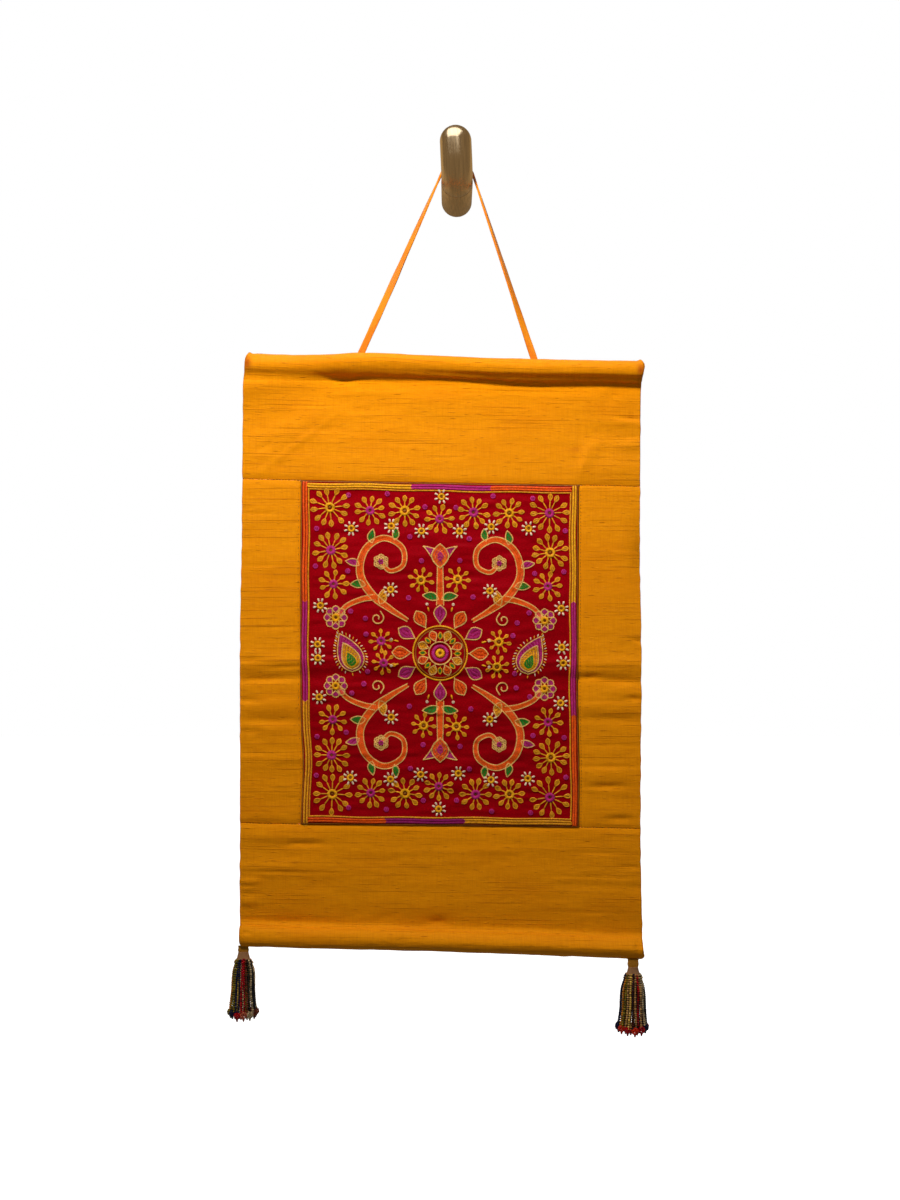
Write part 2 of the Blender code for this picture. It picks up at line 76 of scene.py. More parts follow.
PANEL_LEFT = ((-496, -119.8), (-448, -117.9), (-414, -119.2), (-322, -119.6), (-230, -119.3))
PANEL_RIGHT = ((-496, 93.3), (-444, 93.3), (-399, 92.2), (-322, 92.4), (-230, 93.0))

# How far forward the cloth hangs by height (z, forward), and fuller places under the top roll (x, forward)
HANG = ((-600, 2.6), (-575, 2.6), (-520, 3.6), (-460, 5.6), (-400, 8.2), (-360, 9.6), (-300, 8.9),
        (-230, 6.6), (-180, 4.6), (-158, 3.0), (-140, 2.4))
FULLNESS = ((-165, 3.2), (-97, 0.6), (-20, 2.2), (56, 0.2), (110, 1.3), (142, 0.6))
FULLNESS_BELOW_EDGE = 30.0
FULLNESS_REACH = 12.0
SEAM_DIP = 0.8
SEAM_REACH = 2.6
# Unevenness of the handwoven silk and of the stitched cloth: rise, slant, cell across, cell up, seed
WEAVE = ((0.22, 0, 26, 9, 11), (0.12, 0, 9, 3.6, 12), (0.05, 0, 14, 1.3, 13))
PUCKERS = ((0.5, 0.35, 16, 3.4, 21), (0.4, -0.3, 9, 2.6, 22), (0.6, 0, 30, 8, 23))

# Folds: x, z, half length, half width, lean in degrees, height
FOLDS = (
    (-12, -371, 400, 7, -0.6, 1.7),
    (-12, -381, 400, 5, -0.6, -0.9),
    (-140, -403, 34, 6, 0, 1.3),
    (-150, -421, 20, 5, 0, 1.0),
    (-140, -444, 40, 5, 1, 0.9),
    (112, -404, 34, 7, -2, 1.3),
    (130, -392, 14, 5, -6, 1.1),
    (112, -457, 30, 8, -1, 1.4),
    (120, -484, 18, 6, -2, 1.1),
    (139, -288, 8, 28, 0, -2.2),
    (128, -186, 16, 4, -4, 1.3),
    (112, -196, 18, 6, 0, -1.0),
    (133, -204, 10, 4, 0, 1.2),
    (118, -222, 34, 8, -1, 1.3),
    (-120, -188, 36, 10, 33, 1.3),
    (102, -211, 15, 5, 58, 0.9),
    (-140, -503, 28, 5, 0, 1.0),
    (-140, -527, 42, 7, 0, 1.4),
    (-20, -545, 110, 9, -1, -1.3),
    (-20, -558, 95, 7, -1, 1.4),
    (-15, -569, 9, 4, 0, -1.4),
    (-160, -539, 9, 4, 0, 1.5),
    (-160, -553, 8, 4, 0, 1.2),
    (-60, -290, 46, 11, 8, 0.9),
    (40, -318, 52, 10, -6, 0.9),
    (-30, -452, 60, 9, 4, 0.9),
    (50, -434, 44, 8, -5, 0.8),
)
# Creases too fine for the solids: the same columns, strip by strip
FINE_CREASES = (
    # Upper strip
    (131, -183.2, 9, 1.8, -3, -1.1),
    (134, -197.4, 9, 1.6, 4, -0.6),
    (93, -205, 28, 1.6, 88, -0.35),
    (97, -216, 20, 3.0, 72, 0.4),
    (117, -168, 8, 5, 50, -0.8),
    (-60, -163.5, 34, 2.4, 2, 0.45),
    (60, -166, 44, 2.2, -1, 0.4),
    (-144, -213, 20, 2.6, -5, 0.4),
    (-152, -155, 56, 9, 1, 4.4),
    (-86, -153, 9, 4, 0, -2.4),
    (-122, -203, 32, 2.6, 37.6, 0.7),
    (-145, -203.5, 12, 3, 30, -0.6),
    (-69, -176.8, 14, 3, 0, -0.6),
    (-100, -192, 14, 2.5, 4, -0.5),
    (-48, -199.8, 18, 4, 0, -0.5),
    # Left strip
    (-160, -251.5, 4, 1.3, 0, -0.3),
    (-152, -256, 14, 1.3, 0, -0.45),
    (-158, -276, 12, 4, 0, -0.7),
    (-146, -295.6, 24, 1.3, 0, -0.3),
    (-142, -343, 24, 1.3, 0, -0.35),
    (-158, -367.5, 10, 1.9, 2, -0.9),
    (-130, -372.8, 15, 1.9, 4, -1.0),
    (-146, -382.4, 22, 2.6, 2, -1.5),
    (-160, -398.5, 9, 2.1, -2, -1.0),
    (-138, -414, 26, 3.2, 0, -1.0),
    (-158, -422, 11, 2.3, 0, -1.0),
    (-158, -441.5, 12, 1.4, 0, 0.4),
    (-126, -446.8, 9, 1.4, 0, -0.4),
    (-126, -474, 5, 1.4, 0, -0.5),
    # Right strip
    (141, -290, 4.5, 24, 0, -2.0),
    (127, -286.2, 14, 1.3, -2, 0.35),
    (138, -353.2, 4, 1.6, -12, -1.0),
    (108, -373.5, 34, 1.3, 0, -0.4),
    (101, -381, 9, 2.3, 2, -1.6),
    (124, -383.5, 18, 2.4, -4, -1.0),
    (135, -397, 6, 1.8, -4, -1.2),
    (110, -399, 26, 1.3, 0, -0.4),
    (118, -413, 26, 3.4, -1, -1.0),
    (112, -433, 30, 1.3, 0, -0.35),
    (117, -449.3, 26, 1.5, 0, -0.7),
    (116, -464.5, 13, 2.4, 0, -1.5),
    (107, -467.6, 10, 1.3, 0, 0.5),
    (125, -489.5, 9, 2.3, 0, -1.3),
    # Lower strip
    (-117, -508.6, 15, 2.4, 0, -1.3),
    (-134, -530.2, 34, 1.3, -1, -0.6),
    (-160, -540.5, 9, 2.2, 2, -0.8),
    (-160, -543.6, 6, 1.3, 0, 0.5),
    (-15, -569.3, 6, 1.8, 0, -0.7),
    (-128, -568.6, 36, 3.4, -1, -1.0),
    (20, -514, 70, 3.0, 1, 0.35),
    (104, -541, 34, 3.0, -2, -0.45),
    (120, -515.9, 24, 1.3, -1, -0.4),
    (134, -526.4, 8, 1.5, 0, -0.8),
    (112, -534.2, 36, 1.3, -1, -0.35),
    (137, -543, 6, 5, 20, -0.9),
    (105, -561.8, 30, 1.3, -1, -0.35),
    # Two of the solids' folds made flatter, and a broad dip along the hem
    (-20, -545, 110, 9, -1, 1.0),
    (-20, -558, 95, 7, -1, -1.1),
    (-12, -571, 400, 15, -1.9, -1.8),
)
# Painted shade: darker places at the tucked recesses at the ends of the top roll and on one crease of the
# upper strip, in the same columns with a strength for height
PAINTED_SHADE_SPOTS = (
    (-159.6, -142.0, 2.8, 5.0, 0, 0.9),
    (139.2, -147.6, 2.4, 4.6, 0, 0.95),
    (90.3, -207.2, 5.0, 2.0, 0, 0.3),
)
# Dents near the ends of the bottom roll, in the same columns
ROLL_DENTS = (
    (138.2, -586, 2.2, 6, 0, -1.8),
    (-161, -575.5, 4, 1.6, 0, -0.9),
)

# Rolls: radius forward, radius up, and how far forward the middle stands
TOP_ROLL = (8.5, 8.5, 9.3)
BOTTOM_ROLL = (7.0, 8.3, 4.2)
BOTTOM_ROLL_START = -100.0
ROLL_BACK_ANGLE = 200.0
ROLL_CREASE = 3.0
ROLL_SWELL = ((-167, 1.0), (-110, 0.96), (-60, 1.02), (0, 0.97), (60, 1.0), (110, 0.96), (143, 1.0))
# Along the rolls: x, how far back the top roll is set, the turn at which the cloth leaves it, how far it
# leans over the cloth, the power that draws the bottom roll's section from round towards a diamond, and
# how far the top roll is undercut below its lip
ROLL_SECTION = (
    (-167, -3.8, -50, 0.0, 1.0, 0.0),
    (-130, -3.6, -52, 0.05, 1.0, 0.0),
    (-108, -3.0, -62, 0.2, 1.0, 0.0),
    (-86, -2.2, -96, 0.4, 1.05, 0.2),
    (-60, -2.6, -84, 0.5, 1.1, 0.2),
    (-20, -3.0, -100, 0.6, 1.15, 0.8),
    (40, -1.3, -115, 0.4, 1.3, 2.4),
    (143, -1.0, -115, 0.3, 1.5, 2.8),
)
# The lip's height below the roll's middle and how fast it turns under, as shares of the roll's radius
LIP_DROP = 0.4
LIP_TURN = 0.2
# How far the rolls' ends stand out past the cloth by turn: top left, top right, bottom left, bottom right
ROLL_ENDS = (
    (-115, 0.0, -0.4, -0.6, -0.6),
    (-60, -0.4, -0.6, -0.8, -0.9),
    (0, -0.8, 0.0, -1.0, -1.0),
    (30, -1.0, 0.3, -1.0, -0.7),
    (60, -1.3, -0.3, -1.0, -0.2),
    (90, -1.6, -1.2, -1.2, -0.8),
    (200, -1.2, -1.2, -1.2, -1.0),
)
ROLL_END_REACH = 5.0
ROLL_END_ROUNDING = 0.8
# Rounded knobs at the ends of the top roll: how far up and how far in they stand, and their reach along it
KNOB_RISE = 1.0
KNOB_IN = 2.2
KNOB_REACH = 1.7
TUCK_DEPTH = 1.2

# Strap
BAR_RADIUS = 12.0
STRAP_GAP = 0.3
STRAP_WIDTH = 5.2
STRAP_THICKNESS = 0.9
STRAP_FEET = ((-78.9, -144.0), (62.3, -146.0))
# How far each leg has turned on itself, in degrees, by share of the way down from the bar
LEFT_LEG_TWIST = ((0.0, 0.0), (0.12, 15.0), (0.25, 32.0), (0.45, 52.0), (0.62, 84.0), (0.75, 90.0),
                  (1.0, 90.0))
RIGHT_LEG_TWIST = ((0.0, 0.0), (0.15, 12.0), (0.4, 26.0), (0.6, 42.0), (0.8, 70.0), (0.9, 90.0),
                   (1.0, 90.0))


# Shape helpers

def through(table, position, column=1):
    """Smooth value at each position of a short table whose first column rises."""
    keys = np.array([row[0] for row in table], float)
    values = np.array([row[column] for row in table], float)
    position = np.clip(np.asarray(position, float), keys[0], keys[-1])
    low = np.maximum(np.arange(len(keys)) - 1, 0)
    high = np.minimum(np.arange(len(keys)) + 1, len(keys) - 1)
    slopes = (values[high] - values[low]) / (keys[high] - keys[low])
    i = np.clip(np.searchsorted(keys, position, side="left") - 1, 0, len(keys) - 2)
    span = keys[i + 1] - keys[i]
    t = (position - keys[i]) / span
    ease = t * t * (3 - 2 * t)
    lift = slopes[i] * t * (1 - t) ** 2 - slopes[i + 1] * t * t * (1 - t)
    return values[i] + (values[i + 1] - values[i]) * ease + lift * span


def uneven(x, z, cell_x, cell_z, seed):
    """Smooth random heights of -1 to 1, in cells of the given size in millimetres."""
    lattice = np.random.default_rng(seed).uniform(-1, 1, (128, 128))
    across = np.asarray(x, float) / cell_x + 640.0
    up = np.asarray(z, float) / cell_z + 6400.0
    i = np.floor(across).astype(int)
    j = np.floor(up).astype(int)
    s = across - i
    t = up - j
    s = s * s * (3 - 2 * s)
    t = t * t * (3 - 2 * t)
    near = lattice[i & 127, j & 127] * (1 - s) + lattice[(i + 1) & 127, j & 127] * s
    far = lattice[i & 127, (j + 1) & 127] * (1 - s) + lattice[(i + 1) & 127, (j + 1) & 127] * s
    return near * (1 - t) + far * t


def ruffled(x, z, rows):
    """Random heights summed over a table of rise, slant, cell across, cell up and seed."""
    return sum(rise * uneven(x + slant * z, z, cell_x, cell_z, seed)
               for rise, slant, cell_x, cell_z, seed in rows)


def folds_at(x, z, folds):
    """Height at each place of a table of folds, each a soft ridge or trough."""
    height = np.zeros(np.broadcast(x, z).shape)
    for fold_x, fold_z, half_length, half_width, lean, rise in folds:
        turn = math.radians(lean)
        along = x - fold_x
        up = z - fold_z
        a = (along * math.cos(turn) + up * math.sin(turn)) / half_length
        b = (up * math.cos(turn) - along * math.sin(turn)) / half_width
        height += rise * np.exp(-a * a - b * b)
    return height


def forward(x, z):
    """How far the middle of the cloth stands in front of the strap's plane, as in the solids."""
    reach = through(HANG, z) + folds_at(x, z, FOLDS)
    below_edge = through(TOP_EDGE, x) - z
    reach += through(FULLNESS, x) * np.exp(-((below_edge - FULLNESS_BELOW_EDGE) / FULLNESS_REACH) ** 2)
    for seam in (UPPER_SEAM, LOWER_SEAM):
        reach -= SEAM_DIP * np.exp(-((z - through(seam, x)) / SEAM_REACH) ** 2)
    return reach


def silk_left(z):
    """The silk's left edge, as uneven as handwork."""
    return through(LEFT_EDGE, z) + 0.25 * uneven(z, 0 * z + 1, 7, 1, 51)


def silk_right(z):
    return through(RIGHT_EDGE, z) + 0.3 * uneven(z, 0 * z + 1, 6, 1, 52)


def cloth_forward(x, z):
    """Finer creases and handwoven unevenness on top of the shared folds."""
    return forward(x, z) + folds_at(x, z, FINE_CREASES) + ruffled(x, z, WEAVE)


def panel_inset(x, z):
    """Distance from a point of the red cloth to its nearest edge."""
    across = np.minimum(x - through(PANEL_LEFT, z), through(PANEL_RIGHT, z) - x)
    up = np.minimum(through(UPPER_SEAM, x) - z, z - through(LOWER_SEAM, x))
    return np.minimum(across, up)


def panel_front(x, z):
    """How far forward the face of the red cloth stands, with the puckers that its stitching draws in."""
    inset = panel_inset(x, z)
    inside = np.clip((inset - 7.0) / 5.0, 0, 1)
    band = np.clip((inset - 0.8) / 1.2, 0, 1) * np.clip((7.4 - inset) / 1.2, 0, 1)
    edge_turn = 0.9 * np.exp(-(np.maximum(inset, 0.0) / 0.45) ** 2)
    face = cloth_forward(x, z) + PANEL_THICKNESS / 2 + PANEL_PROUD
    return face + inside * ruffled(x, z, PUCKERS) + 0.45 * band - edge_turn


def to_frame(x, z, reach):
    """Frame coordinates in metres of points given in millimetres."""
    return np.stack([x * MM, STRAP_PLANE_Y - reach * MM, z * MM], axis=-1)


def build_mesh(name, verts, faces, materials, uvs=None, tone=None, material_index=None):
    """A named, smooth object at the origin from arrays of points and faces."""
    mesh = bpy.data.meshes.new(name)
    mesh.from_pydata(np.asarray(verts).reshape(-1, 3).tolist(), [], [list(map(int, face)) for face in faces])
    for material in materials:
        mesh.materials.append(material)
    if material_index is not None:
        mesh.polygons.foreach_set("material_index", np.asarray(material_index, np.int32))
    if uvs is not None:
        corners = np.zeros(len(mesh.loops), np.int32)
        mesh.loops.foreach_get("vertex_index", corners)
        layer = mesh.uv_layers.new(name="cloth")
        layer.data.foreach_set("uv", np.asarray(uvs, np.float32).reshape(-1, 2)[corners].ravel())
    if tone is not None:
        mesh.attributes.new("tone", "FLOAT", "POINT").data.foreach_set("value", np.asarray(tone, np.float32))
    mesh.shade_smooth()
    mesh.validate()
    mesh.update()
    made = bpy.data.objects.new(name, mesh)
    bpy.context.collection.objects.link(made)
    return made


def grid_faces(rows, columns, start=0, wrap=False):
    """Quads of a grid of points that is stored row by row."""
    i, j = np.meshgrid(np.arange(rows - 1), np.arange(columns if wrap else columns - 1), indexing="ij")
    here = i.ravel() * columns + start
    there = here + columns
    j = j.ravel()
    k = (j + 1) % columns
    return np.stack([here + j, here + k, there + k, there + j], axis=1)


def outward(made):
    """Turn all faces of a closed piece outwards."""
    bm = bmesh.new()
    bm.from_mesh(made.data)
    bmesh.ops.recalc_face_normals(bm, faces=bm.faces)
    bm.to_mesh(made.data)
    bm.free()
    return made


def place_piece(made, slot, *nodes):
    """The piece rides on the hanging and stands for the named solids; its slot is not used."""
    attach(made, "root")
    if nodes:
        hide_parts(*nodes)
    return made


# Materials

def new_material(name, colour, roughness, metallic=0.0, specular=0.5, glint=(1.0, 1.0, 1.0)):
    """A material with its node tree and its shader. The glint tints what the surface mirrors."""
    made = bpy.data.materials.new(name)
    made.use_nodes = True
    shader = made.node_tree.nodes["Principled BSDF"]
    shader.inputs["Base Color"].default_value = (*colour, 1.0)
    shader.inputs["Roughness"].default_value = roughness
    shader.inputs["Metallic"].default_value = metallic
    shader.inputs["Specular IOR Level"].default_value = specular
    shader.inputs["Specular Tint"].default_value = (*glint, 1.0)
    made.diffuse_color = (*colour, 1.0)
    return made, made.node_tree, shader


def add_node(tree, kind, links=None, **values):
    """A shader node with its settings, its input values and its incoming links."""
    made = tree.nodes.new("ShaderNode" + kind)
    for key, value in values.items():
        if hasattr(made, key):
            setattr(made, key, value)
        else:
            made.inputs[key.replace("_", " ")].default_value = value
    for key, source in (links or {}).items():
        tree.links.new(source, made.inputs[key])
    return made


def cloth_place(tree):
    """The piece's own map, in metres across and along its threads."""
    return add_node(tree, "UVMap", uv_map="cloth").outputs["UV"]


def tone_of(tree):
    """The tone that each point of the piece carries."""
    return add_node(tree, "Attribute", attribute_name="tone").outputs["Fac"]


def stretched_noise(tree, coordinates, scale, detail, place=(0, 0, 0), roughness=0.5):
    """Noise with its own scale across and along."""
    moved = add_node(tree, "Mapping", {"Vector": coordinates}, Scale=(*scale, 1), Location=place)
    return add_node(tree, "TexNoise", {"Vector": moved.outputs["Vector"]}, Scale=1.0, Detail=detail,
                    Roughness=roughness).outputs["Fac"]


def ramp(tree, source, low, high, low_value=0.0, high_value=1.0):
    """A soft step from one value to another while the source goes from low to high."""
    return add_node(tree, "MapRange", {"Value": source}, interpolation_type="SMOOTHSTEP", From_Min=low,
                    From_Max=high, To_Min=low_value, To_Max=high_value).outputs["Result"]


def mix_colour(tree, factor, first, second):
    """Mix of two colours, each a socket or a plain colour."""
    made = tree.nodes.new("ShaderNodeMix")
    made.data_type = "RGBA"
    for socket, value in ((made.inputs[0], factor), (made.inputs[6], first), (made.inputs[7], second)):
        if isinstance(value, bpy.types.NodeSocket):
            tree.links.new(value, socket)
        elif isinstance(value, (int, float)):
            socket.default_value = value
        else:
            socket.default_value = (*value, 1.0)
    return made.outputs[2]


def maths(tree, operation, first, second=0.0):
    made = tree.nodes.new("ShaderNodeMath")
    made.operation = operation
    for socket, value in zip(made.inputs, (first, second)):
        if isinstance(value, bpy.types.NodeSocket):
            tree.links.new(value, socket)
        else:
            socket.default_value = value
    return made.outputs[0]


def weighted(tree, *parts):
    """Sum of sockets, each times its weight."""
    total = 0.0
    for source, weight in parts:
        total = maths(tree, "ADD", maths(tree, "MULTIPLY", source, weight), total)
    return total


def raise_from(tree, shader, height, distance, strength):
    """Bumps from a height of 0 to 1 over a distance in metres."""
    bump = add_node(tree, "Bump", {"Height": height}, Distance=distance, Strength=strength)
    tree.links.new(bump.outputs["Normal"], shader.inputs["Normal"])


def paint(tree, shader, colour, *layers):
    """Colour the shader, each layer's tint laid over what is below it by the layer's amount."""
    for amount, tint in layers:
        colour = mix_colour(tree, amount, colour, tint)
    tree.links.new(colour, shader.inputs["Base Color"])


def shade(colour, share):
    """A darker or lighter colour."""
    return tuple(min(1.0, c * share) for c in colour)


# The scale at which a wave texture repeats once in a metre
WAVE_SCALE = 0.31416


def bands(tree, coordinates, direction, pitch, distortion=0.0):
    """Even ridges at the given pitch in metres."""
    return add_node(tree, "TexWave", {"Vector": coordinates}, wave_type="BANDS", bands_direction=direction,
                    Scale=WAVE_SCALE / pitch, Distortion=distortion).outputs["Fac"]


# Noises of the raw silk: scale across and along, detail, place, roughness
SILK_NOISES = {
    "weft": ((110, 2300), 3.0, (0, 0, 0), 0.6),
    "warp": ((1500, 60), 2.0, (3, 7, 0), 0.5),
    "streak": ((30, 1000), 1.0, (7, 3, 0), 0.5),
    "line": ((11, 1150), 1.0, (1, 9, 0), 0.5),
    "slub": ((95, 900), 1.0, (11, 5, 0), 0.5),
    "knot": ((210, 620), 1.0, (2, 19, 0), 0.5),
    "broad": ((13, 24), 3.0, (5, 1, 0), 0.5),
}


def raw_silk(name, colour, dark, light, thread_pitch, painted_shade=None):
    """Handwoven silk: uneven crosswise threads with slubs, and fine lengthwise ones. The painted shade of the
    tucks goes by tone.
    """
    made, tree, shader = new_material(name, colour, 0.55, specular=0.12, glint=(1.0, 0.6, 0.15))
    cloth = cloth_place(tree)
    noise = {key: stretched_noise(tree, cloth, *row) for key, row in SILK_NOISES.items()}
    dark_slubs = ramp(tree, noise["slub"], 0.68, 0.76)
    light_slubs = ramp(tree, noise["knot"], 0.7, 0.78)
    long_lines = ramp(tree, noise["line"], 0.63, 0.72)
    deep = (colour[0] * 0.6, colour[1] * 0.45, colour[2] * 0.5)
    cloudy = (colour[0] * 0.84, colour[1] * 0.7, colour[2] * 0.7)
    layers = [
        (ramp(tree, noise["weft"], 0.05, 0.95, 0.1, 0.95), light),
        (ramp(tree, noise["warp"], 0.4, 0.7, 0.0, 0.4), dark),
        (ramp(tree, noise["streak"], 0.58, 0.7, 0.0, 0.35), dark),
        (maths(tree, "MULTIPLY", long_lines, 0.5), deep),
        (ramp(tree, noise["broad"], 0.45, 0.75, 0.0, 0.4), cloudy),
        (ramp(tree, dark_slubs, 0.0, 1.0, 0.0, 0.6), deep),
        (ramp(tree, light_slubs, 0.0, 1.0, 0.0, 0.3), light),
    ]
    # Painted shade: a darker tint where the tone attribute marks the shaded tucks and crease
    if painted_shade:
        layers.append((tone_of(tree), painted_shade))
    paint(tree, shader, dark, *layers)
    lengthwise = bands(tree, cloth, "X", thread_pitch * 0.8)
    weave = maths(tree, "MULTIPLY", bands(tree, cloth, "Y", thread_pitch, 0.6), lengthwise)
    height = weighted(tree, (weave, 0.3), (noise["weft"], 0.45), (dark_slubs, 0.8), (light_slubs, 0.8),
                      (noise["streak"], 0.2), (long_lines, 0.6))
    raise_from(tree, shader, height, 0.0005, 0.75)
    return made


def folded_silk(name, colour):
    """Smooth silk with its threads along the band."""
    made, tree, shader = new_material(name, colour, 0.45, specular=0.2)
    cloth = cloth_place(tree)
    fine = stretched_noise(tree, cloth, (2600, 260), 2.0)
    broad = stretched_noise(tree, cloth, (120, 30), 2.0, (3, 3, 0))
    paint(tree, shader, shade(colour, 0.68), (ramp(tree, fine, 0.3, 0.7), colour),
          (ramp(tree, broad, 0.4, 0.65, 0.0, 0.5), (colour[0], colour[1] * 1.35, colour[2])))
    raise_from(tree, shader, fine, 0.00015, 0.6)
    return made


def red_satin(name, colour):
    """Fine red cloth, darker in broad patches."""
    made, tree, shader = new_material(name, colour, 0.5, specular=0.08, glint=(1.0, 0.2, 0.15))
    cloth = cloth_place(tree)
    fine = stretched_noise(tree, cloth, (700, 1900), 2.0)
    broad = stretched_noise(tree, cloth, (16, 34), 3.0, (4, 4, 0))
    deep = (colour[0] * 0.55, colour[1] * 0.4, colour[2] * 0.5)
    paint(tree, shader, deep, (ramp(tree, fine, 0.3, 0.8), colour),
          (ramp(tree, broad, 0.4, 0.7, 0.0, 0.35), deep))
    raise_from(tree, shader, fine, 0.0002, 0.6)
    return made


def stitched_thread(name, colour):
    """Embroidery thread, lighter and darker from stitch to stitch."""
    made, tree, shader = new_material(name, colour, 0.45, specular=0.16)
    place = add_node(tree, "TexCoord").outputs["Object"]
    ply = add_node(tree, "TexNoise", {"Vector": place}, Scale=1600.0, Detail=1.0).outputs["Fac"]
    dark = shade(colour, 0.42)
    paint(tree, shader, dark, (tone_of(tree), shade(colour, 1.18)),
          (ramp(tree, ply, 0.35, 0.65, 0.0, 0.3), dark))
    raise_from(tree, shader, ply, 0.00012, 0.5)
    return made


def wound_thread(name, colour):
    """Thread wound in close turns."""
    made, tree, shader = new_material(name, colour, 0.6, specular=0.2)
    plies = bands(tree, cloth_place(tree), "X", 0.7 * MM, 1.5)
    paint(tree, shader, shade(colour, 0.5), (plies, colour))
    raise_from(tree, shader, plies, 0.0003, 0.8)
    return made


def satin_bronze(name, colour):
    """Rubbed bronze with fine marks along the bar."""
    made, tree, shader = new_material(name, colour, 0.32, metallic=1.0, glint=(0.82, 0.72, 0.56))
    place = cloth_place(tree)
    marks = stretched_noise(tree, place, (900, 60), 3.0)
    cloud = stretched_noise(tree, place, (90, 60), 3.0, (3, 2, 0))
    dark = shade(colour, 0.82)
    paint(tree, shader, dark, (ramp(tree, marks, 0.3, 0.7), shade(colour, 1.12)),
          (ramp(tree, cloud, 0.45, 0.7, 0.0, 0.3), dark))
    # Handling has polished the domed end, and the rest of the bar is duller
    along = add_node(tree, "SeparateXYZ", {"Vector": place}).outputs["Y"]
    polish = ramp(tree, along, 0.068, 0.084, 0.42, 0.2)
    tree.links.new(weighted(tree, (polish, 1.0), (marks, 0.06)), shader.inputs["Roughness"])
    raise_from(tree, shader, marks, 0.00001, 0.25)
    return made


def seed_bead(name, colour):
    """Glass, darker from bead to bead."""
    made, tree, shader = new_material(name, colour, 0.2, specular=0.15)
    paint(tree, shader, shade(colour, 0.15), (tone_of(tree), colour))
    return made


# Settings

def colour_setting(name, description, default):
    return FloatVectorProperty(name=name, description=description, default=default, size=3, min=0.0, max=1.0,
                               subtype="COLOR")


class SilkSettings(bpy.types.PropertyGroup):
    colour: colour_setting("Silk", "Marigold silk in even light", (0.86, 0.3, 0.002))
    shaded: colour_setting("Silk's dark threads", "The darker threads of the weave", (0.70, 0.21, 0.0012))
    bright: colour_setting("Silk's light threads", "The lighter threads of the weave", (0.95, 0.365, 0.004))
    # The tucked colour is painted shade of the tucked recesses, not a silk of its own colour
    tucked: colour_setting("Tucked ends", "Rust-orange silk tucked into the rolls", (0.45, 0.085, 0.006))
    strap: colour_setting("Strap", "Folded silk of the hanging strap", (0.8, 0.22, 0.005))
    pitch: FloatProperty(name="Thread pitch", description="Distance between the silk's crosswise threads",
                         default=0.62 * MM, min=0.2 * MM, max=2 * MM, unit="LENGTH", precision=5)
    columns: IntProperty(name="Columns", description="Divisions across the full width of the silk",
                         default=206, min=40, max=260)


class NeedleworkSettings(bpy.types.PropertyGroup):
    ground: colour_setting("Ground", "Crimson cloth under the stitches", (0.4, 0.0005, 0.006))
    gold: colour_setting("Gold", "Old-gold thread of the rosettes", (0.82, 0.36, 0.012))
    marigold: colour_setting("Marigold", "Marigold thread", (0.97, 0.42, 0.008))
    orange: colour_setting("Orange", "Orange thread of the stems", (0.97, 0.11, 0.006))
    magenta: colour_setting("Magenta", "Magenta thread", (0.5, 0.024, 0.2))
    purple: colour_setting("Purple", "Purple thread of the border", (0.34, 0.016, 0.16))
    green: colour_setting("Green", "Leaf-green thread", (0.012, 0.24, 0.02))
    cream: colour_setting("Cream", "Cream couching thread", (0.85, 0.52, 0.15))
    pale: colour_setting("Pale dots", "Pale pink-cream knots", (0.95, 0.68, 0.5))
    # Dark brown, partly painted shade: the border's shadowed outer cord, the seam grooves, the gutter
    # stitches and the wheels' hollows
    umber: colour_setting("Umber", "Brown cord along the border", (0.32, 0.12, 0.012))


class HookSettings(bpy.types.PropertyGroup):
    colour: colour_setting("Bronze", "Rubbed bronze of the hook", (0.43, 0.25, 0.095))
    radius: FloatProperty(name="Bar radius", description="Radius of the hook's bar", default=BAR_RADIUS * MM,
                          min=4 * MM, max=20 * MM, unit="LENGTH", precision=5)


class TasselSettings(bpy.types.PropertyGroup):
    cap: colour_setting("Cap", "Brownish-beige thread wound round the tassel's neck", (0.5, 0.25, 0.11))
    # The tab is the same marigold silk as the hanging; its brown is painted shade, as it hangs in shadow
    # under the hem
    tab: colour_setting("Tab", "Brown silk between hem and tassel", (0.4, 0.18, 0.02))
    bead: FloatProperty(name="Bead", description="Thickness of one seed bead", default=2.1 * MM, min=0.8 * MM,
                        max=3 * MM, unit="LENGTH", precision=5)


class StageSettings(bpy.types.PropertyGroup):
    key: FloatProperty(name="Key light", description="Power of the light above and in front", default=6.85,
                       min=0.0, max=200.0, unit="POWER")
    fill: FloatProperty(name="Fill", description="Strength of the even light from all round", default=0.15,
                        min=0.0, max=2.0)
    mirrored: FloatProperty(name="Mirrored room", description="Extra light that glossy things mirror",
                            default=0.24, min=0.0, max=2.0)


# Silk

SILK_WIDTH = 306.0
STRIP_LENGTH = 90.0
STRIP_ROWS = 84
RING_STEPS = 46
CREASE_LENGTH = 4.0
SEAM_GAP = 0.02
EDGE_RADIUS = 0.7
# Distances at which the cloth is divided near its edges, before the even steps
NEAR_ENDS = (0.0, 0.4, 0.9, 1.5, 2.2, 3.0)
NEAR_SEAM = (0.0, 0.12, 0.3, 0.6, 1.0, 1.6)
NEAR_SIDE = (0.0, 0.12, 0.3, 0.6, 1.0)
NEAR_PANEL_EDGE = (0.0, 0.15, 0.35, 0.7)
# What closes a roll's end, ring by ring: share of the size, distance outwards, material
# Material 1 is the darker tucked silk, painted shade inside the roll's mouth
END_RINGS = ((0.93, 0.2, 0), (0.84, 0.1, 0), (0.74, -1.3, 1), (0.5, -2.3, 1), (0.22, -2.5, 1))
# The dip of the side strips beside the red cloth
GUTTER_DIP = 0.9
GUTTER_REACH = 2.2


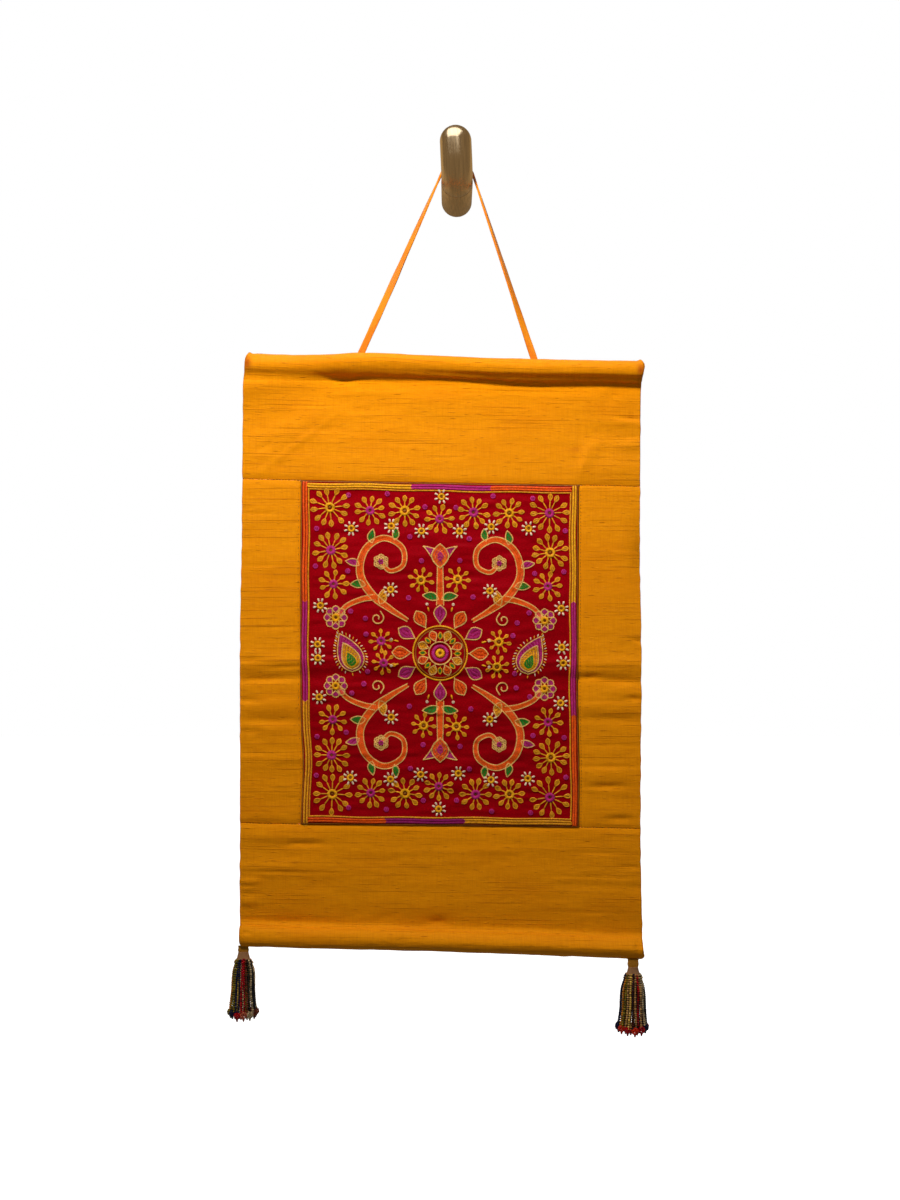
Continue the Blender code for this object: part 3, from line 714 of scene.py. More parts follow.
def roll_at(side, x):
    """Radii and middle of the top roll (side 1) or the bottom roll (side -1)."""
    radius_forward, radius_up, middle_forward = TOP_ROLL if side > 0 else BOTTOM_ROLL
    swell = through(ROLL_SWELL, x)
    outer = through(TOP_EDGE if side > 0 else BOTTOM_EDGE, x)
    if side > 0:
        middle_forward = middle_forward + through(ROLL_SECTION, x)
    return radius_forward * swell, radius_up * swell, middle_forward, outer - side * radius_up * swell


def close_at_ends(near, start, length, count):
    """Shares of a length: a few distances from each end, and even steps between."""
    near = np.array(near) / length
    return np.concatenate([near, np.linspace(start / length, 1 - start / length, count), 1 - near[::-1]])


def turned_edge(*distances):
    """How far back a cloth lies at its distances from folded edges."""
    inside = (np.clip(1 - distance / EDGE_RADIUS, 0, 1) for distance in distances)
    return sum(EDGE_RADIUS * (1 - np.sqrt(np.clip(1 - share ** 2, 0, 1))) for share in inside)


def bowed(value, power):
    """A sine or cosine whose circle turns into a diamond as the power grows from 1."""
    return np.sign(value) * np.abs(value) ** power


def make_rolled_silk(name, side, seam, columns, materials, node):
    """A strip of silk whose outer hem is wound into a roll, as one closed section swept across."""
    u = close_at_ends(NEAR_ENDS, 4.0, SILK_WIDTH, columns - 2 * len(NEAR_ENDS))
    x = silk_left(MID_Z) * (1 - u) + silk_right(MID_Z) * u
    radius_forward, radius_up, roll_forward, roll_z = roll_at(side, x)
    crease_z = roll_z - side * (radius_up + ROLL_CREASE)
    start_z = through(seam, x) + side * SEAM_GAP
    near = np.array(NEAR_SEAM) / STRIP_LENGTH
    rows = np.concatenate([near, np.linspace(near[-1], 1.0, STRIP_ROWS + 1)[1:]])

    def side_x(z):
        return silk_left(z) * (1 - u) + silk_right(z) * u

    front = []
    back = []
    lengths = []
    tones = []
    for v in rows:
        z = start_z + (crease_z - start_z) * v
        across = side_x(z)
        reach = cloth_forward(across, z)
        behind = turned_edge(np.abs(z - start_z), u * SILK_WIDTH, (1 - u) * SILK_WIDTH)
        front.append(to_frame(across, z, reach + SILK_THICKNESS / 2 - behind))
        back.append(to_frame(across, z, reach - SILK_THICKNESS / 2))
        lengths.append(np.abs(z - start_z))
        # The tone carries painted shade, strongest in the tucked recesses
        tones.append(folds_at(across, z, PAINTED_SHADE_SPOTS))
    ring = []
    fullness = 0.28 * uneven(x, x * 0 + side * 31, 13, 9, 31) + 0.16 * uneven(x, x * 0 + side * 7, 5, 9, 32)
    from_left, from_right = u * (x[-1] - x[0]), (1 - u) * (x[-1] - x[0])
    nearest = np.minimum(from_left, from_right)
    knob = KNOB_RISE * (side > 0) * np.exp(-((nearest - KNOB_IN) / KNOB_REACH) ** 2)
    rounding = np.exp(-(nearest / ROLL_END_ROUNDING) ** 2)
    first_turn = through(ROLL_SECTION, x, 2) if side > 0 else x * 0 + BOTTOM_ROLL_START
    lean = through(ROLL_SECTION, x, 3) * (side > 0)
    power = through(ROLL_SECTION, x, 4) if side < 0 else 1.0
    undercut = through(ROLL_SECTION, x, 5) * (side > 0)
    left_end, right_end = (1, 2) if side > 0 else (3, 4)
    for k in range(RING_STEPS + 1):
        span = np.radians(ROLL_BACK_ANGLE - first_turn) * k / RING_STEPS
        angle = np.radians(first_turn) + span
        plump = fullness * np.cos(angle * 1.5) + 0.14 * uneven(x, x * 0 + k * 0.9, 8, 2.2, 33 + side)
        plump += knob * np.maximum(0.0, np.sin(angle + 0.3)) - rounding
        z = roll_z + side * (radius_up + plump) * bowed(np.sin(angle), power)
        leaning = 1 + lean * np.sin(angle) / 2
        reach = roll_forward + (radius_forward + plump) * bowed(np.cos(angle), power) * leaning
        below_lip = np.clip((-np.sin(angle) - LIP_DROP) / LIP_TURN, 0, 1)
        reach -= undercut * below_lip * np.sqrt(np.clip(np.cos(angle), 0, 1))
        across = side_x(z)
        for hand, distance, column in ((-1, from_left, left_end), (1, from_right, right_end)):
            proud = through(ROLL_ENDS, np.degrees(angle), column)
            across = across + hand * proud * np.exp(-(distance / ROLL_END_REACH) ** 2)
        in_front = np.cos(angle) > -0.2
        # Painted shade in the tucks, on the front only, with a dent as deep as the shade is strong
        painted_shade = folds_at(across, z, PAINTED_SHADE_SPOTS) * in_front
        reach += folds_at(across, z, ROLL_DENTS) * in_front - TUCK_DEPTH * painted_shade
        ring.append(to_frame(across, z, reach))
        tones.append(painted_shade)
        around = 0.5 * (radius_forward + radius_up) * span
        lengths.append(lengths[len(rows) - 1] + CREASE_LENGTH + around)
    section = front + ring + back[::-1]
    verts = np.stack(section)
    count = len(section)
    tones += [x * 0.0] * len(back)
    v_lengths = np.stack(lengths + lengths[:len(rows)][::-1])
    uvs = np.stack([np.broadcast_to(x, v_lengths.shape) * MM, v_lengths * MM], axis=-1)
    faces = list(grid_faces(count, columns))
    i = np.arange(columns - 1)
    faces += list(np.stack([(count - 1) * columns + i, (count - 1) * columns + i + 1, i + 1, i], axis=1))
    index = [0] * len(faces)
    verts = list(verts.reshape(-1, 3))
    uvs = list(uvs.reshape(-1, 2))
    front_count = len(rows)
    for column, outwards in ((0, -1.0), (columns - 1, 1.0)):
        ends = [row * columns + column for row in range(count)]
        for row in range(front_count - 1):
            faces.append([ends[row], ends[row + 1], ends[count - 2 - row], ends[count - 1 - row]])
            index.append(0)
        ring_ends = ends[front_count:front_count + RING_STEPS + 1]
        faces.append([ends[front_count - 1], ring_ends[0], ring_ends[-1], ends[front_count + RING_STEPS + 1]])
        index.append(0)
        loop = [np.array(verts[k]) for k in ring_ends]
        centre = sum(loop) / len(loop)
        previous = ring_ends
        for shrink, push, look in END_RINGS:
            fresh = []
            for k, point in enumerate(loop):
                wander = 1.0 + 0.05 * math.sin(k * 0.9 + column) * (1 - shrink)
                spot = centre + (point - centre) * shrink * wander
                spot[0] += outwards * push * MM
                fresh.append(len(verts))
                verts.append(spot)
                uvs.append((float(spot[1]), float(spot[2])))
            for k in range(len(loop)):
                m = (k + 1) % len(loop)
                faces.append([previous[k], previous[m], fresh[m], fresh[k]])
                index.append(look)
            previous = fresh
        faces.append(previous)
        index.append(1)
    # The end rings of the top roll carry painted shade as well
    tones = np.concatenate([np.stack(tones).ravel(), np.full(len(verts) - count * columns, 0.6 * (side > 0))])
    made = outward(build_mesh(name, verts, faces, materials, uvs, tones, index))
    return place_piece(made, "silk", node)


def sheet_grid(edges, columns, rows):
    """Points of a cloth between four edge functions: x and z arrays."""
    left, right, top, bottom = edges
    u, v = np.meshgrid(columns, rows)
    x = left(MID_Z) + (right(MID_Z) - left(MID_Z)) * u
    for _ in range(5):
        z = top(x) + (bottom(x) - top(x)) * v
        x = left(z) + (right(z) - left(z)) * u
    return x, z


def closed_sheet(name, x, z, front, back, materials):
    """A closed thin piece from a grid of places and its front and back reach."""
    rows, columns = x.shape
    verts = np.concatenate([to_frame(x, z, front).reshape(-1, 3), to_frame(x, z, back).reshape(-1, 3)])
    uvs = np.stack([x * MM, z * MM], axis=-1).reshape(-1, 2)
    offset = rows * columns
    faces = list(grid_faces(rows, columns)) + list(grid_faces(rows, columns, offset))
    order = np.arange(offset).reshape(rows, columns)
    rim = [*order[0], *order[1:, -1], *order[-1, -2::-1], *order[-2:0:-1, 0]]
    for k, here in enumerate(rim):
        there = rim[(k + 1) % len(rim)]
        faces.append([here, there, there + offset, here + offset])
    return outward(build_mesh(name, verts, faces, materials, np.concatenate([uvs, uvs])))


def inner_top(x):
    """Upper edge of the pieces between the two seams."""
    return through(UPPER_SEAM, x) - SEAM_GAP


def inner_bottom(x):
    """Lower edge of the pieces between the two seams."""
    return through(LOWER_SEAM, x) + SEAM_GAP


def make_side_silk(name, left, right, outer_left, materials, node):
    """A strip of silk between the two seams, with a shallow dip beside the red cloth."""
    columns = close_at_ends(NEAR_SIDE, 1.8, 48.0, 30)
    rows = close_at_ends(NEAR_SIDE, 2.0, 262.0, 240)
    x, z = sheet_grid((left, right, inner_top, inner_bottom), columns, rows)
    reach = cloth_forward(x, z)
    behind = turned_edge(x - left(z), right(z) - x, inner_top(x) - z, z - inner_bottom(x))
    gutter = right(z) - x if outer_left else x - left(z)
    behind = np.minimum(behind + GUTTER_DIP * np.exp(-(gutter / GUTTER_REACH) ** 2), SILK_THICKNESS - 0.1)
    front = reach + SILK_THICKNESS / 2 - behind
    back = reach - SILK_THICKNESS / 2
    return place_piece(closed_sheet(name, x, z, front, back, materials), "silk", node)


class HANGING_OT_silk(bpy.types.Operator):
    """Sews the four strips of marigold silk, the upper and lower ones with their rolls"""
    bl_idname = "hanging.silk"
    bl_label = "Silk strips"

    def execute(self, context):
        given = context.scene.hanging_silk
        # The marigold silk takes the tucked colour as painted shade, and the tucked silk is painted shade
        # inside the rolls' ends
        silk = raw_silk("marigold_silk", tuple(given.colour), tuple(given.shaded), tuple(given.bright),
                        given.pitch, tuple(given.tucked))
        tucked = raw_silk("tucked_silk", tuple(given.tucked), shade(given.tucked, 0.6),
                          shade(given.tucked, 1.3), given.pitch)
        both = [silk, tucked]
        top = make_rolled_silk("upper_silk", 1, UPPER_SEAM, given.columns, both, "silk_top")
        bottom = make_rolled_silk("lower_silk", -1, LOWER_SEAM, given.columns, both, "silk_bottom")
        left = make_side_silk("left_silk", silk_left, lambda z: through(PANEL_LEFT, z) - SEAM_GAP, True,
                              [silk], "silk_left")
        right = make_side_silk("right_silk", lambda z: through(PANEL_RIGHT, z) + SEAM_GAP, silk_right, False,
                               [silk], "silk_right")
        return {"FINISHED"}


# Needlework

THREADS = ("gold", "marigold", "orange", "magenta", "purple", "green", "cream", "pale", "umber")
FIELD_MIDDLE = (-12.9, -362.5)
FIELD_SLOPE = -0.0145
LAID_STITCH = 2.5
STEM_STEP = 0.95


def unit_bead(segments, rings):
    """Points and faces of a small rounded grain of unit size, its long axis along z."""
    bpy.ops.object.select_all(action="DESELECT")
    bpy.ops.mesh.primitive_uv_sphere_add(segments=segments, ring_count=rings, radius=1.0)
    made = bpy.context.object
    points = np.array([tuple(v.co) for v in made.data.vertices])
    faces = [tuple(p.vertices) for p in made.data.polygons]
    bpy.data.objects.remove(made, do_unlink=True)
    return points, faces


def smooth_path(points, count):
    """Evenly spaced points along a smooth line through a few given ones."""
    rows = [(i, x, z) for i, (x, z) in enumerate(points)]
    fine = np.linspace(0, len(points) - 1, 12 * len(points))
    x = through(rows, fine, 1)
    z = through(rows, fine, 2)
    run = np.concatenate([[0.0], np.cumsum(np.hypot(np.diff(x), np.diff(z)))])
    even = np.linspace(0, run[-1], count)
    return np.stack([np.interp(even, run, x), np.interp(even, run, z)], axis=1)


def turned(points, degrees, x=0.0, z=0.0, mirror=1.0):
    """Points mirrored across z if asked, turned, and moved."""
    cosine, sine = math.cos(math.radians(degrees)), math.sin(math.radians(degrees))
    a = points[:, 0] * mirror
    b = points[:, 1]
    return np.stack([x + a * cosine - b * sine, z + a * sine + b * cosine], axis=1)


def away(x, z, angle, out):
    """The point at a distance from another, in the direction of an angle."""
    return x + math.cos(angle) * out, z + math.sin(angle) * out


def petal_outline(length, width, fullest=0.62, count=28):
    """Closed outline of a petal that starts at the origin and points up z."""
    share = np.linspace(0.0, 1.0, count // 2 + 1)
    half = np.sin(np.pi * share ** (math.log(0.5) / math.log(fullest))) ** 0.85 * width / 2
    right = np.stack([half, share * length], axis=1)
    left = np.stack([-half[1:-1], share[1:-1] * length], axis=1)[::-1]
    return np.concatenate([right, left])


def curled(points, amount, length):
    """Bend a shape sideways, more and more towards its tip."""
    x, z = points.T
    share = np.clip(z / length, 0, 1)
    return np.stack([x + amount * share ** 2.4, z - 0.35 * abs(amount) * share ** 3], axis=1)


class Needlework:
    """Stitches and looped threads, gathered in millimetres from the middle of the field they lie on."""

    def __init__(self, seed, middle=FIELD_MIDDLE, slope=FIELD_SLOPE):
        self.stitches = []
        self.loops = []
        self.chance = np.random.default_rng(seed)
        self.middle = middle
        self.slope = slope

    def stitch(self, x, z, turn, length, width, height, thread, lift=0.0, tone=None):
        tone = self.chance.uniform(0.5, 1.0) if tone is None else tone
        self.stitches.append((x, z, turn, length, width, height, lift, tone, THREADS.index(thread)))

    def loop(self, points, radius, thread, lift):
        tone = self.chance.uniform(0.6, 1.0)
        self.loops.append((np.asarray(points), radius, lift, tone, THREADS.index(thread)))

    def line(self, points, thread, step=1.35, length=1.9, width=1.0, height=0.55, slant=18.0, lift=0.1,
             closed=False):
        """Chain or couching stitches one after another along a line."""
        points = np.asarray(points)
        if closed:
            points = np.concatenate([points, points[:1]])
        run = np.concatenate([[0.0], np.cumsum(np.hypot(*np.diff(points, axis=0).T))])
        count = max(2, int(run[-1] / step))
        for s in np.linspace(0, run[-1], count, endpoint=not closed):
            x, z = np.interp(s, run, points[:, 0]), np.interp(s, run, points[:, 1])
            ahead = min(s + 0.4, run[-1])
            behind = max(s - 0.4, 0.0)
            turn = math.atan2(np.interp(ahead, run, points[:, 1]) - np.interp(behind, run, points[:, 1]),
                              np.interp(ahead, run, points[:, 0]) - np.interp(behind, run, points[:, 0]))
            turn += math.radians(slant + self.chance.uniform(-6, 6))
            self.stitch(x, z, turn, length, width, height, thread, lift)

    def fill(self, points, thread, degrees, height, lift, spacing=0.95, inset=0.5):
        """Rows of laid stitches inside a closed outline."""
        shape = turned(np.asarray(points), -degrees)
        after = np.roll(shape, -1, axis=0)
        turn = math.radians(degrees)
        rows = np.arange(shape[:, 1].min() + inset, shape[:, 1].max() - inset * 0.5, spacing)
        for k, level in enumerate(rows):
            crossing = (shape[:, 1] > level) != (after[:, 1] > level)
            share = (level - shape[crossing, 1]) / (after[crossing, 1] - shape[crossing, 1])
            cuts = np.sort(shape[crossing, 0] + share * (after[crossing, 0] - shape[crossing, 0]))
            for start, end in zip(cuts[::2], cuts[1::2]):
                start += inset
                end -= inset
                span = end - start
                if span < 0.7:
                    continue
                count = max(1, round(span / LAID_STITCH))
                piece = span / count
                for m in range(count):
                    a = start + (m + 0.5) * piece + (0.3 * (k % 2) - 0.15) * (count > 1)
                    x = a * math.cos(turn) - level * math.sin(turn)
                    z = a * math.sin(turn) + level * math.cos(turn)
                    slant = turn + math.radians(self.chance.uniform(-5, 5))
                    self.stitch(x, z, slant, piece * 1.1, spacing * 1.12, height, thread, lift)

    def stem(self, points, widths):
        """A stem of slanting stitches laid to a plait, with a couched line along both sides."""
        points = np.asarray(points)
        ahead = np.gradient(points, axis=0)
        turn = np.arctan2(ahead[:, 1], ahead[:, 0])
        side = np.stack([-np.sin(turn), np.cos(turn)], axis=1)
        run = np.concatenate([[0.0], np.cumsum(np.hypot(*np.diff(points, axis=0).T))])
        half = np.interp(run / run[-1], np.linspace(0, 1, len(widths)), widths) / 2
        for s in np.arange(0.3, run[-1], STEM_STEP):
            x, z = np.interp(s, run, points[:, 0]), np.interp(s, run, points[:, 1])
            here = np.interp(s, run, np.unwrap(turn))
            wide = np.interp(s, run, half) - 0.35
            for hand in (-1, 1):
                offset = hand * wide * 0.5
                self.stitch(x - math.sin(here) * offset, z + math.cos(here) * offset,
                            here + hand * math.radians(58), wide * 1.5 + 0.5, 1.0, 0.6, "orange")
        for hand in (-1, 1):
            self.line(points + side * (half * hand)[:, None], "cream", slant=14 * hand, width=0.95)

    def build(self, name, materials, ground, grain):
        """One mesh of everything gathered, each part laid on the cloth's own surface."""
        points, faces = grain
        used = sorted({row[8] for row in self.stitches} | {row[4] for row in self.loops})
        rows = np.array(self.stitches, float)
        x, z, turn, length, width, height, lift, tone, thread = (rows[:, k:k + 1] for k in range(9))
        along = points[:, 2][None, :] * length / 2
        across = points[:, 0][None, :] * width / 2
        up = points[:, 1][None, :] * height * 0.62 + lift + height * 0.25
        wx, wz = self.placed(x + along * np.cos(turn) - across * np.sin(turn),
                             z + along * np.sin(turn) + across * np.cos(turn))
        verts = [to_frame(wx, wz, ground(wx, wz) + up).reshape(-1, 3)]
        all_faces = [tuple(k * len(points) + v for v in face) for k in range(len(rows)) for face in faces]
        tones = [np.repeat(rows[:, 7], len(points))]
        looks = list(np.repeat([used.index(int(t)) for t in rows[:, 8]], len(faces)))
        start = len(verts[0])
        for path, radius, lift, tone, thread in self.loops:
            count = len(path)
            ahead = np.roll(path, -1, axis=0) - np.roll(path, 1, axis=0)
            side = np.stack([-ahead[:, 1], ahead[:, 0]], axis=1)
            side /= np.maximum(np.hypot(*side.T), 1e-6)[:, None]
            for across, up in ((1, 0.1), (0, 1.1), (-1, 0.1), (0, -0.6)):
                wx, wz = self.placed(*(path + side * radius * across).T)
                verts.append(to_frame(wx, wz, ground(wx, wz) + lift + up * radius))
            for k in range(count):
                m = (k + 1) % count
                for ring in range(4):
                    next_ring = (ring + 1) % 4
                    all_faces.append((start + ring * count + k, start + ring * count + m,
                                      start + next_ring * count + m, start + next_ring * count + k))
            looks += [used.index(thread)] * (4 * count)
            tones.append(np.full(4 * count, tone))
            start += 4 * count
        worn = [materials[THREADS[k]] for k in used]
        return outward(build_mesh(name, np.concatenate(verts), all_faces, worn, tone=np.concatenate(tones),
                                  material_index=looks))

    def placed(self, x, z):
        """Millimetres from the frame's own middle, of points given from the middle of the field."""
        return x + self.middle[0], z + self.middle[1] + x * self.slope


def wheel(work, x, z, radius, thread, hole, count=None, height=1.25):
    """A raised ring of radial stitches round a small hollow, with a flat dark stitch in it as painted shade.
    """
    count = count or max(9, int(radius * 4.6))
    for k in range(count):
        turn = 2 * math.pi * k / count
        work.stitch(*away(x, z, turn, radius * (1 + hole) / 2), turn, radius * (1 - hole) * 1.15,
                    radius * 7.0 / count, height, thread, 0.1)
    work.stitch(x, z, 0.5, radius * hole * 1.6, radius * hole * 1.5, 0.25, "umber", 0.0, 0.6)


def rosette(work, x, z, reach, petals, centre, turn=0.0):
    """A wheel with looped petals on short stalks."""
    hub = 3.5 if reach > 12 else 3.2
    for k in range(petals):
        angle = math.radians(turn + 360 * k / petals) + work.chance.uniform(-0.07, 0.07)
        far = reach * work.chance.uniform(0.92, 1.05)
        loop_length = min(5.6, (far - hub) * 0.62)
        near = far - loop_length
        work.stitch(*away(x, z, angle, (hub + near) / 2), angle, near - hub + 1.8, 1.15, 0.6, "gold", 0.05)
        loop = turned(petal_outline(loop_length, loop_length * 0.56, 0.6, 10), math.degrees(angle) - 90,
                      *away(x, z, angle, near))
        work.loop(loop, 0.48, "gold", 0.15)
        work.stitch(*away(x, z, angle, near + loop_length * 0.55), angle, loop_length * 0.75,
                    loop_length * 0.36, 0.4, "gold", 0.0, 0.45)
    if centre == "magenta":
        wheel(work, x, z, hub + 0.3, "magenta", 0.3)
    else:
        wheel(work, x, z, hub + 0.5, "marigold", 0.42)


def dotted_rosette(work, x, z):
    """A small raised ring with pale knots round it."""
    wheel(work, x, z, 2.9, "marigold", 0.36, 13, 1.1)
    for k in range(8):
        angle = math.radians(22 + 45 * k) + work.chance.uniform(-0.1, 0.1)
        for out, length in ((4.3, 2.9), (4.9, 1.9)):
            work.stitch(*away(x, z, angle, out), angle, length, 1.8, 0.9, "pale", 0.1)


def knot(work, x, z, thread="magenta", size=2.3):
    """Six short stitches round a raised one."""
    for k in range(7):
        angle = 2 * math.pi * k / 6
        out = 0.0 if k == 6 else size * 0.62
        work.stitch(*away(x, z, angle, out), angle + 1.4, size * 0.95, size * 0.6, 0.9, thread,
                    0.15 + 0.3 * (k == 6))


def outlined(work, shape, thread, degrees, edge="cream", lift=0.0):
    """A filled shape with a line of thread round it."""
    work.fill(shape, thread, degrees, 0.55, lift)
    work.line(shape, edge, closed=True, lift=lift + 0.15)


def leaf(work, x, z, degrees, length, width, thread, curl=0.0, edge="cream", mirror=1.0):
    shape = curled(petal_outline(length, width, 0.45), curl, length)
    outlined(work, turned(shape, degrees, x, z, mirror), thread, degrees + 35 * mirror, edge)


def blossom(work, x, z, degrees, size, outer, inner):
    """A bell-shaped flower: two side petals curling out, a broad middle one, and a small heart."""
    for hand in (-1, 1):
        side = curled(petal_outline(size, size * 0.52, 0.5), 0.62 * size, size)
        outlined(work, turned(side, degrees, x, z, hand), outer, degrees + 50 * hand)
    middle = petal_outline(size * 0.86, size * 0.62, 0.5)
    outlined(work, turned(middle, degrees, x, z), inner, degrees, lift=0.35)
    heart = petal_outline(size * 0.42, size * 0.24, 0.5, 12) + np.array([0.0, size * 0.2])
    work.fill(turned(heart, degrees, x, z), outer, degrees + 90, 0.7, 0.7, spacing=0.8, inset=0.2)


def paisley(work, x, z, degrees, size, mirror):
    """A curled drop in bands of magenta, gold and green, with short pale stitches round it."""
    for share, thread, lift in ((1.0, "magenta", 0.0), (0.7, "gold", 0.3), (0.4, "green", 0.6)):
        drop = petal_outline(size * share, size * 0.62 * share, 0.36, 36)
        drop = curled(drop, size * 0.3 * share, size * share) + np.array([0.0, size * 0.19 * (1 - share)])
        drop = turned(drop, degrees, x, z, mirror)
        edge = "cream" if thread != "green" else "marigold"
        outlined(work, drop, thread, degrees + 40 * mirror, edge, lift)
        if share == 1.0:
            middle = drop.mean(axis=0)
            for k, point in enumerate(drop):
                out = point - middle
                out /= np.hypot(*out)
                work.stitch(*(point + out * 2.3), math.atan2(out[1], out[0]), 2.6, 1.05, 0.7,
                            "pale" if k % 2 else "gold")


def round_flower(work, x, z, radius, petals, outer, heart):
    """A flat flower of outlined petals round a raised ring."""
    for k in range(petals):
        degrees = 360 * k / petals
        shape = turned(petal_outline(radius * 0.62, 4.6 * radius / petals, 0.6, 16), degrees,
                       *away(x, z, math.radians(degrees + 90), radius * 0.38))
        outlined(work, shape, outer, degrees + 90)
    wheel(work, x, z, radius * 0.36, heart, 0.34, 14, 1.5)


def spiral_points(x, z, radius, start, turns):
    """Points of a line that winds in towards a middle."""
    share = np.linspace(0, 1, 9)
    angle = math.radians(start) + share * turns * 2 * math.pi
    out = radius * (1 - 0.78 * share)
    return np.stack([x + out * np.cos(angle), z + out * np.sin(angle)], axis=1)


def medallion(work):
    """The round flower in the middle of the field."""
    for k in range(12):
        degrees = 30 * k
        shape = turned(petal_outline(14.5, 9.4, 0.6), degrees, *away(0, 0, math.radians(degrees + 90), 22.0))
        outlined(work, shape, "orange" if k % 2 else "magenta", degrees)
        if k % 3 == 1:
            continue
        gap = math.radians(degrees + 105)
        work.stitch(*away(0, 0, gap, 34.5), gap, 4.2, 1.5, 0.8, "marigold", 0.1)
        knot(work, *away(0, 0, gap, 38.5), "pale", 1.3)
    circle = np.linspace(0, 2 * math.pi, 72, endpoint=False)
    for radius, thread, width in ((20.6, "marigold", 1.5), (18.7, "umber", 1.0), (8.6, "cream", 1.3)):
        ring = np.stack([np.cos(circle) * radius, np.sin(circle) * radius], axis=1)
        work.line(ring, thread, width=width, height=0.8, closed=True)
    for k in range(8):
        degrees = 45 * k + 22
        shape = turned(petal_outline(8.6, 5.8, 0.6), degrees, *away(0, 0, math.radians(degrees + 90), 9.4))
        outlined(work, shape, "gold" if k % 2 else "orange", degrees + 90)
        between = math.radians(degrees + 112.5)
        leaf(work, *away(0, 0, between, 10.8), degrees + 22.5, 5.2, 3.0, "green", 0.0, "marigold")
    wheel(work, 0.0, 0.0, 6.6, "magenta", 0.62, 30, 1.6)
    wheel(work, 0.0, 0.0, 3.6, "marigold", 0.3, 14, 1.9)


# Scrolls: the path of one stem in the upper right quarter, which the other three mirror
SCROLL = ((25, 25), (38, 33), (52, 44), (61, 60), (57, 78), (43, 87), (29, 80), (28, 67), (38, 62), (45, 69))
SCROLL_WIDTHS = (2.4, 5.6, 5.4, 4.4, 3.4, 2.6)
BRANCH = ((50, 42), (60, 40), (71, 35), (78, 27))
BRANCH_WIDTHS = (4.2, 3.4, 3.0)
# Leaves of the scrolls: x, z, lean, length, width, thread, curl
SCROLL_LEAVES = (
    (57, 51, -75, 12, 6.2, "green", 2.5),
    (62, 66, -55, 11, 5.6, "magenta", 3.0),
    (52, 83.5, -12, 11, 5.6, "green", -3.0),
    (46, 37, 28, 12, 6.4, "gold", 2.5),
    (35, 86, 20, 10, 5.0, "green", 2.0),
)
# Rosettes: x, z, reach, petals, colour of the middle in the right half, and in the left
ROSETTES = (
    (83, 109, 15.5, 12, "magenta", "marigold"),
    (53, 107, 12.0, 10, "marigold", "magenta"),
    (26, 108, 12.5, 10, "magenta", "marigold"),
    (84, 78, 14.0, 12, "marigold", "magenta"),
    (82, 52, 11.5, 9, "magenta", "magenta"),
    (13.5, 56, 9.8, 8, "marigold", "marigold"),
    (44, 9, 9.2, 8, "marigold", "magenta"),
    (0, 103, 11.5, 10, "magenta", "magenta"),
)
DOTTED = ((0, 119), (68, 95), (38, 97), (92, 36), (37, 49), (93, 6), (15, 92))
KNOTS = ((22, 88), (70, 120), (95, 94), (94, 64), (58, 25), (40, 120), (68, 32), (14, 71), (12, 112),
         (56, 14), (24, 42), (71, 62))


def scatter(work, rows, draw):
    """Set a row of motifs in all four quarters, or both halves where it lies on an axis."""
    for row in rows:
        for side in ((1, -1) if row[0] else (1,)):
            for end in ((1, -1) if row[1] else (1,)):
                x = row[0] * side + work.chance.uniform(-1.2, 1.2)
                z = row[1] * end + work.chance.uniform(-1.2, 1.2)
                draw(x, z, side, row)


def quarter_leaf(work, side, end, x, z, lean, length, width, thread, curl):
    """A leaf in one quarter, from its row for the upper right one."""
    if end < 0:
        lean = math.copysign(180, lean) - lean
    leaf(work, x * side, z * end, lean * side, length, width, thread, curl, mirror=side * end)


def sew_garden(plants, flowers):
    """The design: a round flower, four scrolling stems, paisleys, bell flowers and scattered rosettes."""
    medallion(plants)
    for side in (-1, 1):
        for end in (-1, 1):
            hand = np.array([side, end])
            plants.stem(smooth_path(SCROLL, 90) * hand, SCROLL_WIDTHS)
            plants.stem(smooth_path(BRANCH, 34) * hand, BRANCH_WIDTHS)
            round_flower(plants, 79.5 * side, 26 * end, 9.0, 8, "magenta", "marigold")
            round_flower(plants, 45.0 * side, 69.0 * end, 5.6, 6, "cream", "magenta")
            for row in SCROLL_LEAVES:
                quarter_leaf(plants, side, end, *row)
            spiral = spiral_points(48.0, 26.0, 5.6, 120, 1.2) * hand
            plants.line(smooth_path(spiral, 60), "cream", step=1.2, width=1.25, height=0.7)
    for end in (-1, 1):
        plants.stem(np.array([(0.0, z * end) for z in np.linspace(37, 66, 30)]), (5.4, 4.0))
        turn = 0 if end > 0 else 180
        blossom(plants, 0, 65 * end, turn, 21, "magenta", "orange")
        leaf(plants, 0, 66 * end, turn, 9, 5, "green", 0.0, "marigold")
        for side in (-1, 1):
            quarter_leaf(plants, side, end, 1.5, 41, -62, 13, 6.2, "green", 3.0)
    for side in (-1, 1):
        paisley(plants, 67 * side, -15, 0, 32, side)
    scatter(flowers, ROSETTES, lambda x, z, side, row: rosette(
        flowers, x, z, row[2], row[3], row[4] if side > 0 else row[5], flowers.chance.uniform(0, 40)))
    scatter(flowers, DOTTED, lambda x, z, side, row: dotted_rosette(flowers, x, z))
    scatter(flowers, KNOTS, lambda x, z, side, row: knot(flowers, x, z))


# The border's runs: side, from, to, thread. Across runs are given by x, down runs by z.
BORDER_RUNS = (
    ("top", -113.5, -34.5, "marigold"),
    ("top", -34.5, 26.0, "magenta"),
    ("top", 26.0, 87.5, "orange"),
    ("bottom", -113.5, -54.4, "orange"),
    ("bottom", -54.4, 6.1, "purple"),
    ("bottom", 6.1, 87.5, "gold"),
    ("left", -494.5, -398.5, "gold"),
    ("left", -398.5, -322.8, "magenta"),
    ("left", -322.8, -231.5, "orange"),
    ("right", -495.0, -409.6, "orange"),
    ("right", -409.6, -323.5, "magenta"),
    ("right", -323.5, -235.0, "marigold"),
)
